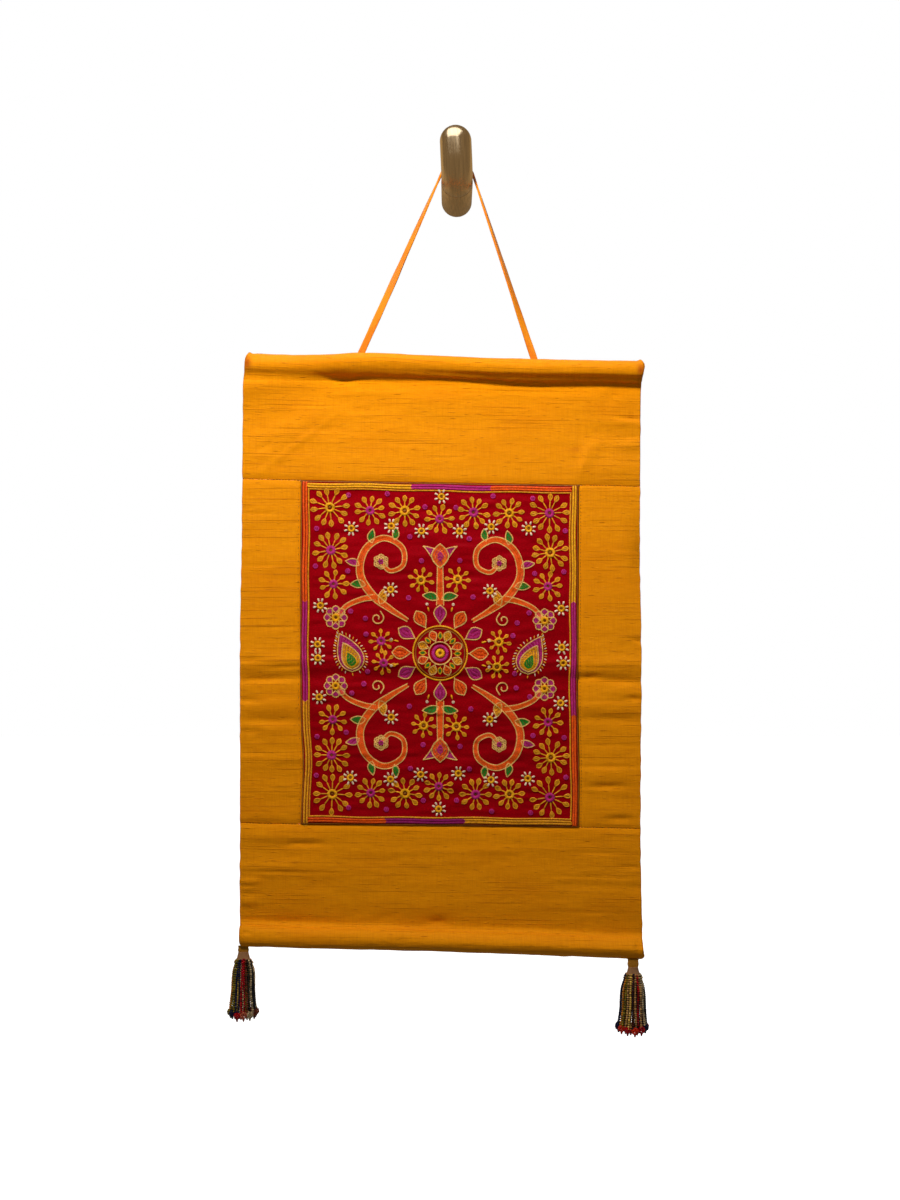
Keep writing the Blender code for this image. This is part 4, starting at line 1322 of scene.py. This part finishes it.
# The border's sides: the edge each follows, which way is inwards, and where its cord starts and ends
BORDER_SIDES = {
    "left": (PANEL_LEFT, 1, -493.0, -231.2),
    "right": (PANEL_RIGHT, -1, -495.4, -234.8),
    "top": (UPPER_SEAM, -1, -119.0, 92.6),
    "bottom": (LOWER_SEAM, 1, -119.0, 92.8),
}
UPRIGHT = ("left", "right")
CORD_INSET = 0.65
BAND_INSET = 3.6
INNER_INSET = 6.5


def border_point(side, s, inset):
    """A point of the border by its side, its place along it and its distance from the panel's edge."""
    sway = 0.28 * math.sin(s * 0.11) + 0.18 * math.sin(s * 0.043 + 1.0)
    edge, inwards = BORDER_SIDES[side][:2]
    at = float(through(edge, s)) + inwards * (inset + (sway if inset > 1 else 0.3 * sway))
    return (at, s) if side in UPRIGHT else (s, at)


def sew_border(work):
    """Plaited band in runs of colour, between a dark brown cord and a gold one. The outer cord's dark brown
    is painted shade of the gutter it lies in.
    """
    for side, start, end, thread in BORDER_RUNS:
        for s in np.arange(start, end, 0.92):
            for hand in (-1, 1):
                turn = (0.0 if side in UPRIGHT else math.pi / 2) + hand * math.radians(46)
                place = border_point(side, s, BAND_INSET + hand * 0.98)
                work.stitch(*place, turn, 2.6, 1.02, 0.7, thread, 0.1)
    for side, (_, _, low, high) in BORDER_SIDES.items():
        line = [border_point(side, s, CORD_INSET) for s in np.linspace(low, high, 120)]
        # The outer cord's dark brown is painted shade
        work.line(line, "umber", step=1.25, length=2.0, width=1.05, height=0.7, slant=24)
        line = [border_point(side, s, INNER_INSET) for s in np.linspace(low + 6, high - 6, 120)]
        work.line(line, "gold", step=1.2, width=1.15, height=0.75, slant=32)


def silk_front(x, z):
    """How far forward the face of the silk stands."""
    return cloth_forward(x, z) + SILK_THICKNESS / 2


def sew_seams(work):
    """Broken lines of dark thread along the silk's seams, and prick stitches beside the panel's upright
    edges; their dark brown is partly painted shade in the seam grooves and the gutter.
    """
    for seam in (UPPER_SEAM, LOWER_SEAM):
        for low, high in ((-163.0, -119.5), (93.0, 139.0)):
            for s in np.arange(low, high, 2.3):
                if work.chance.uniform() < 0.8:
                    length = work.chance.uniform(1.3, 2.2)
                    work.stitch(s, float(through(seam, s)), -0.018, length, 0.5, 0.3, "umber", -0.35)
    for s in np.arange(-494, -237, 2.6):
        work.stitch(float(through(PANEL_RIGHT, s)) + 1.5, s, math.pi / 2, 1.0, 0.6, 0.25, "umber", -0.2)
    for s in np.arange(-490, -240, 5.2):
        work.stitch(float(through(PANEL_LEFT, s)) - 1.5, s, math.pi / 2, 0.9, 0.5, 0.25, "umber", -0.2)


class HANGING_OT_needlework(bpy.types.Operator):
    """Lays the red cloth, plaits its border and sews the garden of flowers on it"""
    bl_idname = "hanging.needlework"
    bl_label = "Embroidered panel"

    def execute(self, context):
        given = context.scene.hanging_needlework
        ground = red_satin("crimson_cloth", tuple(given.ground))
        edges = (lambda z: through(PANEL_LEFT, z) + SEAM_GAP, lambda z: through(PANEL_RIGHT, z) - SEAM_GAP,
                 inner_top, inner_bottom)
        x, z = sheet_grid(edges, close_at_ends(NEAR_PANEL_EDGE, 1.2, 213.0, 150),
                          close_at_ends(NEAR_PANEL_EDGE, 1.2, 265.0, 190))
        back = cloth_forward(x, z) - PANEL_THICKNESS / 2
        cloth = closed_sheet("red_cloth", x, z, panel_front(x, z), back, [ground])
        place_piece(cloth, "red_embroidery", "embroidered_panel")
        threads = {name: stitched_thread(name + "_thread", tuple(getattr(given, name))) for name in THREADS}
        grain = unit_bead(5, 3)
        border = Needlework(41, (0.0, 0.0), 0.0)
        sew_border(border)
        plants = Needlework(42)
        flowers = Needlework(43)
        sew_garden(plants, flowers)
        seams = Needlework(44, (0.0, 0.0), 0.0)
        sew_seams(seams)
        made = [border.build("stitched_border", threads, panel_front, grain),
                plants.build("stitched_stems", threads, panel_front, grain),
                flowers.build("stitched_rosettes", threads, panel_front, grain)]
        for piece in made:
            place_piece(piece, "red_embroidery")
        place_piece(seams.build("seam_stitches", threads, silk_front, grain), "silk")
        return {"FINISHED"}


# Hook

JOINT_Y = STRAP_PLANE_Y + 3.0 * MM
BEND_START_Y = STRAP_PLANE_Y - 3.0 * MM
BEND_RADIUS = 14.0 * MM
HOOK_TOP_Z = 37.2 * MM
HOOK_LEAN = 0.045
SLEEVE_RADIUS = 12.2 * MM
RIM_WIDTH = 0.45 * MM
DOME_STEPS = 14


def wrap_uvs(made, radius, unroll):
    """Map a round piece by its turn and the length along it, with no smear where the turns meet."""
    mesh = made.data
    layer = mesh.uv_layers.get("cloth") or mesh.uv_layers.new(name="cloth")
    for face in mesh.polygons:
        middle = unroll(face.center)[0]
        for k in face.loop_indices:
            turn, along = unroll(mesh.vertices[mesh.loops[k].vertex_index].co)
            turn -= 2 * math.pi * round((turn - middle) / (2 * math.pi))
            layer.data[k].uv = (turn * radius, along)


def unroll_bar(spot):
    """Turn round the hook's bar, and length along it from the mounted face."""
    x, y, z = spot
    back = BEND_START_Y - y
    if back < 0:
        return math.atan2(x, -z), -y
    x += HOOK_LEAN * max(z, 0.0)
    if z > BEND_RADIUS:
        return math.atan2(x, back - BEND_RADIUS), z - BEND_START_Y + BEND_RADIUS * (math.pi / 2 - 1)
    bent = math.atan2(back, BEND_RADIUS - z)
    return math.atan2(x, math.hypot(back, BEND_RADIUS - z) - BEND_RADIUS), BEND_RADIUS * bent - BEND_START_Y


class HANGING_OT_hook(bpy.types.Operator):
    """Turns the hook's sleeve and bends its bar"""
    bl_idname = "hanging.hook"
    bl_label = "Hook"

    def execute(self, context):
        given = context.scene.hanging_hook
        bronze = satin_bronze("rubbed_bronze", tuple(given.colour))
        sleeve_end = JOINT_Y + 0.3 * MM
        sleeve = self.add_rod("sleeve", SLEEVE_RADIUS, 0.0, sleeve_end)
        self.round_rim(sleeve, sleeve_end, RIM_WIDTH)
        bar = self.add_rod("bar", given.radius, JOINT_Y, BEND_START_Y)
        bpy.ops.object.mode_set(mode="EDIT")
        self.pick_end(bar, lambda middle: middle.y < BEND_START_Y + 0.1 * MM)
        # The whole bend leans, so the spin turns about a tilted axis and what follows runs on along its slope
        bpy.ops.mesh.spin(steps=18, angle=math.pi / 2, axis=(1, 0, HOOK_LEAN),
                          center=(-HOOK_LEAN * BEND_RADIUS, BEND_START_Y, BEND_RADIUS))
        self.run_on(HOOK_TOP_Z - given.radius - BEND_RADIUS)
        at = 0.0
        size = 1.0
        for k in range(1, DOME_STEPS + 1):
            turn = math.pi / 2 * k / DOME_STEPS
            rise = given.radius * math.sin(turn)
            wide = max(math.cos(turn), 0.04)
            self.run_on(rise - at)
            bpy.ops.transform.resize(value=(wide / size, wide / size, wide / size))
            at, size = rise, wide
        bpy.ops.mesh.select_all(action="SELECT")
        bpy.ops.mesh.remove_doubles(threshold=0.00001)
        bpy.ops.mesh.normals_make_consistent(inside=False)
        bpy.ops.object.mode_set(mode="OBJECT")
        self.round_rim(bar, JOINT_Y, RIM_WIDTH)
        for made, node in ((sleeve, "hook_sleeve"), (bar, "hook_bar")):
            made.data.materials.append(bronze)
            wrap_uvs(made, given.radius, unroll_bar)
            made.data.shade_smooth()
            made.data.set_sharp_from_angle(angle=math.radians(35))
            place_piece(made, "bronzed_metal", node)
        return {"FINISHED"}

    def add_rod(self, name, radius, back, front):
        """A round rod from one place along y to another."""
        bpy.ops.object.select_all(action="DESELECT")
        bpy.ops.mesh.primitive_cylinder_add(vertices=72, radius=radius, depth=back - front,
                                            end_fill_type="NGON", location=(0, (back + front) / 2, 0),
                                            rotation=(math.pi / 2, 0, 0))
        made = bpy.context.object
        made.name = name
        bpy.ops.object.transform_apply(location=True, rotation=True, scale=True)
        return made

    def run_on(self, rise):
        """Extrude the selected end upwards along the leaning bar."""
        bpy.ops.mesh.extrude_region_move(TRANSFORM_OT_translate={"value": (-HOOK_LEAN * rise, 0, rise)})

    def pick_end(self, made, wanted):
        """Select the one end face that the test wants, in edit mode."""
        bpy.ops.mesh.select_mode(type="FACE")
        bm = bmesh.from_edit_mesh(made.data)
        for face in bm.faces:
            face.select = len(face.verts) > 4 and wanted(face.calc_center_median())
        bm.select_flush_mode()
        bmesh.update_edit_mesh(made.data)

    def round_rim(self, made, y, width):
        """Bevel the rim of the round end that stands at y."""
        bpy.ops.object.select_all(action="DESELECT")
        made.select_set(True)
        bpy.context.view_layer.objects.active = made
        bpy.ops.object.mode_set(mode="EDIT")
        bpy.ops.mesh.select_mode(type="EDGE")
        bm = bmesh.from_edit_mesh(made.data)
        for edge in bm.edges:
            edge.select = all(abs(v.co.y - y) < 0.02 * MM for v in edge.verts) and any(
                len(face.verts) > 4 for face in edge.link_faces)
        bm.select_flush_mode()
        bmesh.update_edit_mesh(made.data)
        bpy.ops.mesh.bevel(offset=width, segments=3, affect="EDGES")
        bpy.ops.object.mode_set(mode="OBJECT")


# Tassels

TASSEL_FORWARD = 4.6
# Middle across, heights of tab and cap, how high the beads climb the cap, length of the strands, and how
# far their tips hang to one side
TASSELS = {
    "left": {"x": -163.5, "tab": 3.6, "cap": 8.2, "bare": 2.6, "strand": 44.4, "sway": -0.3, "seed": 4},
    "right": {"x": 134.7, "tab": 5.4, "cap": 7.5, "bare": 2.0, "strand": 44.7, "sway": -1.0, "seed": 9},
}
CAPS = {
    "left": ((0.0, 3.9, 3.2), (0.5, 4.9, 4.0), (0.8, 5.9, 4.8), (1.0, 7.0, 5.6)),
    "right": ((0.0, 3.8, 3.2), (0.47, 4.7, 3.9), (0.8, 6.1, 4.9), (1.0, 7.3, 5.8)),
}
BUNDLES = {
    "left": ((0.0, 7.0, 5.6), (0.13, 8.9, 6.8), (0.5, 9.9, 7.5), (0.84, 11.5, 8.4), (1.0, 12.4, 9.1)),
    "right": ((0.0, 7.3, 5.8), (0.18, 9.6, 7.1), (0.55, 10.8, 7.9), (0.82, 12.6, 8.9), (1.0, 13.6, 9.5)),
}
TABS = {"left": ((0.0, 4.2), (0.5, 4.0), (1.0, 3.9)), "right": ((0.0, 4.4), (0.5, 4.2), (1.0, 3.8))}
BEAD_COLOURS = {
    "amber": (0.6, 0.22, 0.015),
    "olive": (0.26, 0.19, 0.008),
    "navy": (0.004, 0.004, 0.035),
    "copper": (0.5, 0.15, 0.07),
    "ruby": (0.45, 0.003, 0.006),
    "brown": (0.18, 0.035, 0.01),
    "gilt": (1.0, 0.62, 0.12),
    "moss": (0.035, 0.028, 0.004),
    "silver": (0.6, 0.44, 0.24),
    "tan": (0.6, 0.32, 0.1),
    "maroon": (0.04, 0.002, 0.003),
    "jet": (0.005, 0.004, 0.005),
    "coral": (0.6, 0.14, 0.07),
    "scarlet": (0.75, 0.03, 0.004),
}
# Colours of the strands that face the front, from left to right, and of the bead balls at their ends
# The brown strand of the left tassel is painted shade between the strands; the brown ball is the ball's own
# dark colour
STRANDS = {
    "left": ("amber", "olive", "olive", "navy", "navy", "copper", "ruby", "ruby", "brown", "gilt", "moss",
             "silver", "jet"),
    "right": ("navy", "amber", "olive", "tan", "moss", "gilt", "maroon", "jet", "tan", "ruby", "ruby", "tan",
              "silver", "jet"),
}
BALLS = {
    "left": ("olive", "navy", "ruby", "coral", "silver", "brown"),
    "right": ("navy", "scarlet", "ruby", "scarlet", "ruby", "navy"),
}
# Rings of strands and of bead balls: share of the bundle's width, and how many
STRAND_RINGS = ((1.0, 27), (0.76, 19), (0.48, 11), (0.18, 4))
BALL_RINGS = ((0.86, 12), (0.42, 6))
BALL_BEADS = 34
GOLDEN_TURN = 2.39996


def bundle_at(side, share):
    """Half width and half depth of the strands at a share of their length."""
    return float(through(BUNDLES[side], share)), float(through(BUNDLES[side], share, 2))


def make_beads(name, beads, palette, grain):
    """One mesh of many small beads, from rows of middle, half size (across, deep, up), colour and tone."""
    points, faces = grain
    places, sizes, colours, tones = zip(*beads)
    verts = (np.array(places)[:, None, :] + points[None, :, :] * np.array(sizes)[:, None, :]) * MM
    verts[..., 1] += STRAP_PLANE_Y
    used = sorted(set(colours))
    all_faces = [tuple(k * len(points) + v for v in face) for k in range(len(beads)) for face in faces]
    looks = np.repeat([used.index(c) for c in colours], len(faces))
    return outward(build_mesh(name, verts, all_faces, [palette[c] for c in used],
                              tone=np.repeat(tones, len(points)), material_index=looks))


class HANGING_OT_tassels(bpy.types.Operator):
    """Makes the silk tabs, the wound caps and the strands of seed beads"""
    bl_idname = "hanging.tassels"
    bl_label = "Tassels"

    def execute(self, context):
        given = context.scene.hanging_tassels
        palette = {name: seed_bead(name + "_glass", colour) for name, colour in BEAD_COLOURS.items()}
        cap_thread = wound_thread("cap_thread", tuple(given.cap))
        # The tab's brown silk is painted shade of the marigold silk under the hem
        tab_silk = raw_silk("tab_silk", tuple(given.tab), shade(given.tab, 0.6), shade(given.tab, 1.3),
                            0.6 * MM)
        grain = unit_bead(6, 3)
        for side, sizes in TASSELS.items():
            self.make_one(side, sizes, given, palette, cap_thread, tab_silk, grain)
        return {"FINISHED"}

    def make_one(self, side, sizes, given, palette, cap_thread, tab_silk, grain):
        chance = np.random.default_rng(sizes["seed"])
        x = sizes["x"]
        tab_top = float(through(BOTTOM_EDGE, x)) + 0.4
        cap_top = float(through(BOTTOM_EDGE, x)) - 0.3 - sizes["tab"]
        root_z = cap_top - 0.3 - sizes["cap"]

        rows = []
        for share in np.linspace(0, 1, 9):
            pinch = 1 - 0.06 * math.sin(7 * share)
            height = tab_top - share * (tab_top - cap_top + 0.6)
            rows.append((height, through(TABS[side], share) * pinch, 1.5 * pinch))
        tab = self.drawn_down("tab_" + side, x, rows, tab_silk, corner=1.2)
        place_piece(tab, "tab_silk", "tassel_tab_" + side)

        # The wound thread shows down to the first beads, and a narrower core runs on inside them
        rows = [(cap_top - 0.05, CAPS[side][0][1] * 0.86, CAPS[side][0][2] * 0.86)]
        shown = 1 - sizes["bare"] / sizes["cap"]
        for share in np.linspace(0, shown, 13):
            wound = 1 + 0.025 * math.cos(share * sizes["cap"] / 0.9 * 2 * math.pi)
            wide, deep = (through(CAPS[side], share, column) * wound for column in (1, 2))
            rows.append((cap_top - 0.3 - share * sizes["cap"], wide, deep))
        for share in (shown + 0.04, 1.0):
            rows.append((cap_top - 0.3 - share * sizes["cap"], wide * 0.8, deep * 0.8))
        place_piece(self.drawn_down("cap_" + side, x, rows, cap_thread), "tab_silk")

        bead = given.bead / MM
        beads = []
        front = STRANDS[side]
        for ring, count in STRAND_RINGS:
            for k in range(count):
                angle = 2 * math.pi * (k + 0.5 * (ring < 1)) / count
                ease = ring * chance.uniform(0.95, 1.0)
                u, v = math.cos(angle) * ease, math.sin(angle) * ease
                if v > -0.1 or ring < 0.9:
                    colour = front[int(chance.integers(len(front)))]
                else:
                    colour = front[min(len(front) - 1, int((u + 1) / 2 * len(front)))]
                length = sizes["strand"] * (1 - 0.05 * u * u) - 5.6 - chance.uniform(0, 2.2)
                wave = chance.uniform(0, 6)
                drop = -sizes["bare"] * (1 - 0.5 * u * u) - chance.uniform(0, 0.8) if ring > 0.9 else 0.0
                while drop < length:
                    share = max(0.0, drop) / sizes["strand"]
                    wide, deep = bundle_at(side, share)
                    if drop < 0:
                        on_cap = 1 + drop / sizes["cap"]
                        wide = float(through(CAPS[side], on_cap)) + bead * 0.5
                        deep = float(through(CAPS[side], on_cap, 2)) + bead * 0.5
                    wander = 0.3 * math.sin(drop * 0.16 + wave)
                    place = (x + u * (wide - bead / 2) + sizes["sway"] * share + wander,
                             -TASSEL_FORWARD + v * (deep - bead / 2), root_z - drop)
                    size = bead * chance.uniform(0.44, 0.52)
                    beads.append((place, (size, size, size * 0.78), colour, chance.uniform(0.15, 1.0)))
                    drop += bead * 0.8
        balls = BALLS[side]
        for ring, count in BALL_RINGS:
            for k in range(count):
                angle = 2 * math.pi * (k + 0.25) / count
                u, v = math.cos(angle) * ring, math.sin(angle) * ring
                if k >= count // 2:
                    colour = balls[(k - count // 2) * len(balls) * 2 // count]
                else:
                    colour = balls[int(chance.integers(len(balls)))]
                centre_drop = sizes["strand"] * (1 - 0.05 * u * u) - 4.8 - chance.uniform(0, 1.0)
                share = centre_drop / sizes["strand"]
                wide, deep = bundle_at(side, share)
                radius = chance.uniform(2.5, 3.0)
                middle = np.array([x + u * (wide - 0.4) + sizes["sway"] * share,
                                   -TASSEL_FORWARD + v * (deep - 0.6), root_z - centre_drop])
                for m in range(BALL_BEADS):
                    height = 1 - 2 * (m + 0.5) / BALL_BEADS
                    turn = m * GOLDEN_TURN
                    around = math.sqrt(1 - height * height)
                    out = np.array([around * math.cos(turn), around * math.sin(turn), height * 1.12])
                    beads.append((middle + out * (radius - 0.55), (0.78, 0.78, 0.72), colour,
                                  chance.uniform(0.4, 1.0)))
                for down, size in ((1.15, 1.0), (1.42, 0.85)):
                    beads.append((middle - np.array([0, 0, radius * down]), (size, size, size), colour, 0.9))
        strands = make_beads("bead_strands_" + side, beads, palette, grain)
        place_piece(strands, "seed_beads", "tassel_" + side)

    def drawn_down(self, name, x, rows, material, corner=0.0):
        """A round or corner-rounded face extruded down through rows of height, half width and half depth."""
        middle_y = STRAP_PLANE_Y - TASSEL_FORWARD * MM
        height, wide, deep = (float(value) for value in rows[0])
        place = (x * MM, middle_y, height * MM)
        bpy.ops.object.select_all(action="DESELECT")
        if corner:
            bpy.ops.mesh.primitive_plane_add(size=2 * wide * MM, location=place)
        else:
            bpy.ops.mesh.primitive_circle_add(vertices=48, radius=wide * MM, fill_type="NGON", location=place)
        made = bpy.context.object
        made.name = name
        bpy.ops.object.mode_set(mode="EDIT")
        bpy.ops.transform.resize(value=(1.0, deep / wide, 1.0))
        if corner:
            bpy.ops.mesh.bevel(offset=corner * MM, segments=4, affect="VERTICES")
            bpy.ops.mesh.select_all(action="SELECT")
        for row in rows[1:]:
            next_height, next_wide, next_deep = (float(value) for value in row)
            step = (0, 0, (next_height - height) * MM)
            bpy.ops.mesh.extrude_region_move(TRANSFORM_OT_translate={"value": step})
            bpy.ops.transform.resize(value=(next_wide / wide, next_deep / deep, 1.0))
            height, wide, deep = next_height, next_wide, next_deep
        bpy.ops.mesh.select_all(action="SELECT")
        bpy.ops.mesh.normals_make_consistent(inside=False)
        bpy.ops.object.mode_set(mode="OBJECT")
        bpy.ops.object.transform_apply(location=True, rotation=True, scale=True)
        made.data.materials.append(material)
        made.data.shade_smooth()
        made.data.set_sharp_from_angle(angle=math.radians(50))
        wrap_uvs(made, CAPS["left"][2][1] * MM,
                 lambda spot: (math.atan2(spot[0] - x * MM, middle_y - spot[1]), spot[2]))
        return made


# Strap

LEG_STEPS = 44
ARC_STEPS = 26
# Upper half of the band's section: its fold at one side is round, and its turned-in edges meet at the other
STRAP_HALF = ((0.97, 0.62), (0.88, 1.0), (0.4, 0.82), (0.0, 0.78), (-0.4, 0.84), (-0.85, 1.0), (-1.0, 0.7),
              (-0.93, 0.12))
STRAP_FOLD = (1.0, 0.0)


def strap_stations():
    """Middle line of the strap, its outward direction and its twist: up the left leg, over, and down."""
    radius = BAR_RADIUS + STRAP_GAP + STRAP_THICKNESS / 2
    angles = []
    for foot_x, foot_z in STRAP_FEET:
        towards_foot = math.atan2(foot_z, foot_x)
        spread = math.acos(radius / math.hypot(foot_x, foot_z))
        angles.append((towards_foot - spread if foot_x < 0 else towards_foot + spread) % (2 * math.pi))
    stations = []
    for foot, angle, twists, order in ((STRAP_FEET[0], angles[0], LEFT_LEG_TWIST, range(LEG_STEPS, 0, -1)),
                                       (None, None, None, range(ARC_STEPS + 1)),
                                       (STRAP_FEET[1], angles[1], RIGHT_LEG_TWIST, range(1, LEG_STEPS + 1))):
        for i in order:
            if foot is None:
                turn = angles[0] + (angles[1] - angles[0]) * i / ARC_STEPS
                normal = Vector((math.cos(turn), 0.0, math.sin(turn)))
                stations.append((normal * radius, normal, 0.0))
                continue
            share = i / LEG_STEPS
            normal = Vector((math.cos(angle), 0.0, math.sin(angle)))
            middle = (normal * radius).lerp(Vector((foot[0], 0.0, foot[1])), share)
            stations.append((middle, normal, math.radians(float(through(twists, share)))))
    return stations


class HANGING_OT_strap(bpy.types.Operator):
    """Hangs the folded silk strap over the hook's bar"""
    bl_idname = "hanging.strap"
    bl_label = "Strap"

    def execute(self, context):
        silk = folded_silk("strap_silk", tuple(context.scene.hanging_silk.strap))
        half_width = STRAP_WIDTH / 2
        half_thick = STRAP_THICKNESS / 2
        outline = [*STRAP_HALF, *((a, -b) for a, b in reversed(STRAP_HALF)), STRAP_FOLD]
        along_bar = Vector((0.0, 1.0, 0.0))
        plane = Vector((0.0, STRAP_PLANE_Y, 0.0))
        verts = []
        uvs = []
        path = []
        run = 0.0
        stations = strap_stations()
        for k, (middle, normal, twist) in enumerate(stations):
            centre = plane + middle * MM
            run += (centre - Vector(path[-1])).length if path else 0.0
            path.append(tuple(centre))
            wide = along_bar * math.cos(twist) + normal * math.sin(twist)
            thick = normal * math.cos(twist) - along_bar * math.sin(twist)
            puffed = half_thick * (1.0 + 0.9 * math.cos(twist) ** 2)
            skin = centre + normal * (puffed - half_thick) * MM
            for a, b in outline:
                narrow = 1.0 + 0.03 * math.sin(k * 0.7)
                verts.append(skin + wide * a * half_width * narrow * MM + thick * b * puffed * MM)
                uvs.append((a * half_width * MM, run))
        count = len(outline)
        faces = list(grid_faces(len(stations), count, wrap=True))
        faces.append(list(range(count)))
        faces.append(list(range(len(verts) - count, len(verts))))
        made = outward(build_mesh("strap", verts, faces, [silk], uvs))
        place_piece(made, "strap_silk", "hanging_strap")
        return {"FINISHED"}


# Stage

CAMERA_PLACE = (-0.0054, -1.211, -0.322)
CAMERA_LENS = 44.9
FLOOR_Z = -0.80
WARM = (1.0, 0.93, 0.82)
PALE_WHITE = (1.0, 0.96, 0.89)
COOL = (0.42, 0.58, 1.0)
# The key shapes the folds. Metal and beads mirror the softbox and the two edge lights. The rear light is for
# the back. Name, place, target, share of the key, width and height, tint, whether it lights, and is mirrored
LAMPS = (
    ("key", (-0.125, -0.60, 0.255), (0.0, -0.06, -0.25), 1.0, (0.09, 0.09), WARM, True, False),
    ("softbox", (-0.09, -0.312, 0.453), (0.0, -0.07, 0.02), 2.0, (0.8, 0.68), COOL, False, True),
    ("edge_left", (-0.15, 0.03, 0.0), (-0.15, -1.0, 0.0), 0.01, (0.2, 0.2), PALE_WHITE, True, True),
    ("edge_right", (0.15, 0.03, 0.0), (0.15, -1.0, 0.0), 0.007, (0.2, 0.2), PALE_WHITE, True, True),
    ("rear", (0.3, 0.9, 0.1), (0.0, 0.0, -0.33), 0.5, (0.5, 0.5), PALE_WHITE, True, False),
)


class HANGING_OT_stage(bpy.types.Operator):
    """Sets the camera, the pale floor and the soft light"""
    bl_idname = "hanging.stage"
    bl_label = "Stage"

    def execute(self, context):
        given = context.scene.hanging_stage
        scene = context.scene
        camera = bpy.data.objects.new("camera", bpy.data.cameras.new("camera"))
        scene.collection.objects.link(camera)
        camera.location = CAMERA_PLACE
        camera.rotation_euler = (math.pi / 2, 0.0, 0.0)
        camera.data.sensor_fit = "VERTICAL"
        camera.data.sensor_height = 36.0
        camera.data.lens = CAMERA_LENS
        camera.data.clip_end = 50.0
        scene.camera = camera
        scene.view_settings.view_transform = "Standard"

        bpy.ops.object.select_all(action="DESELECT")
        bpy.ops.mesh.primitive_plane_add(size=8.0, location=(0.0, 0.0, FLOOR_Z))
        floor = context.object
        floor.name = "floor"
        pale, tree, shader = new_material("pale_floor", (0.9, 0.9, 0.9), 0.9)
        shader.inputs["Emission Color"].default_value = (1.0, 1.0, 1.0, 1.0)
        shader.inputs["Emission Strength"].default_value = 1.0
        floor.data.materials.append(pale)
        floor.visible_diffuse = False
        floor.visible_glossy = False

        world = bpy.data.worlds.new("studio")
        scene.world = world
        world.use_nodes = True
        tree = world.node_tree
        background = tree.nodes["Background"]
        background.inputs["Color"].default_value = (1.0, 0.97, 0.93, 1.0)
        backdrop = tree.nodes.new("ShaderNodeBackground")
        backdrop.inputs["Color"].default_value = (1.0, 1.0, 1.0, 1.0)
        rays = tree.nodes.new("ShaderNodeLightPath")
        extra = maths(tree, "MULTIPLY", rays.outputs["Is Glossy Ray"], given.mirrored)
        tree.links.new(maths(tree, "ADD", extra, given.fill), background.inputs["Strength"])
        mixed = tree.nodes.new("ShaderNodeMixShader")
        tree.links.new(rays.outputs["Is Camera Ray"], mixed.inputs[0])
        tree.links.new(background.outputs[0], mixed.inputs[1])
        tree.links.new(backdrop.outputs[0], mixed.inputs[2])
        tree.links.new(mixed.outputs[0], tree.nodes["World Output"].inputs["Surface"])

        for name, place, target, share, size, tint, lighting, mirrored in LAMPS:
            lamp = bpy.data.lights.new(name, "AREA")
            lamp.energy = given.key * share
            lamp.shape = "RECTANGLE"
            lamp.size, lamp.size_y = size
            lamp.color = tint
            light = bpy.data.objects.new(name, lamp)
            scene.collection.objects.link(light)
            light.location = place
            light.rotation_euler = (Vector(target) - Vector(place)).to_track_quat("-Z", "Y").to_euler()
            light.visible_camera = False
            light.visible_diffuse = lighting
            light.visible_glossy = mirrored
        return {"FINISHED"}


# Panel and run

SETTINGS = (("hanging_silk", SilkSettings), ("hanging_needlework", NeedleworkSettings),
            ("hanging_hook", HookSettings), ("hanging_tassels", TasselSettings),
            ("hanging_stage", StageSettings))
OPERATORS = (HANGING_OT_stage, HANGING_OT_strap, HANGING_OT_silk, HANGING_OT_needlework, HANGING_OT_hook,
             HANGING_OT_tassels)


class HANGING_PT_sidebar(bpy.types.Panel):
    """Lists the pieces of the hanging and their settings"""
    bl_idname = "HANGING_PT_sidebar"
    bl_label = "Silk hanging"
    bl_space_type = "VIEW_3D"
    bl_region_type = "UI"
    bl_category = "Silk hanging"

    def draw(self, context):
        for operator in OPERATORS:
            self.layout.operator(operator.bl_idname)
        for name, settings in SETTINGS:
            for prop in settings.__annotations__:
                self.layout.prop(getattr(context.scene, name), prop)


def register():
    for name, settings in SETTINGS:
        bpy.utils.register_class(settings)
        setattr(bpy.types.Scene, name, PointerProperty(type=settings))
    for operator in OPERATORS:
        bpy.utils.register_class(operator)
    bpy.utils.register_class(HANGING_PT_sidebar)


def unregister():
    bpy.utils.unregister_class(HANGING_PT_sidebar)
    for operator in reversed(OPERATORS):
        bpy.utils.unregister_class(operator)
    for name, settings in reversed(SETTINGS):
        delattr(bpy.types.Scene, name)
        bpy.utils.unregister_class(settings)


def main():
    register()
    for operator in OPERATORS:
        family, action = operator.bl_idname.split(".")
        getattr(getattr(bpy.ops, family), action)()


if __name__ == "__main__":
    main()
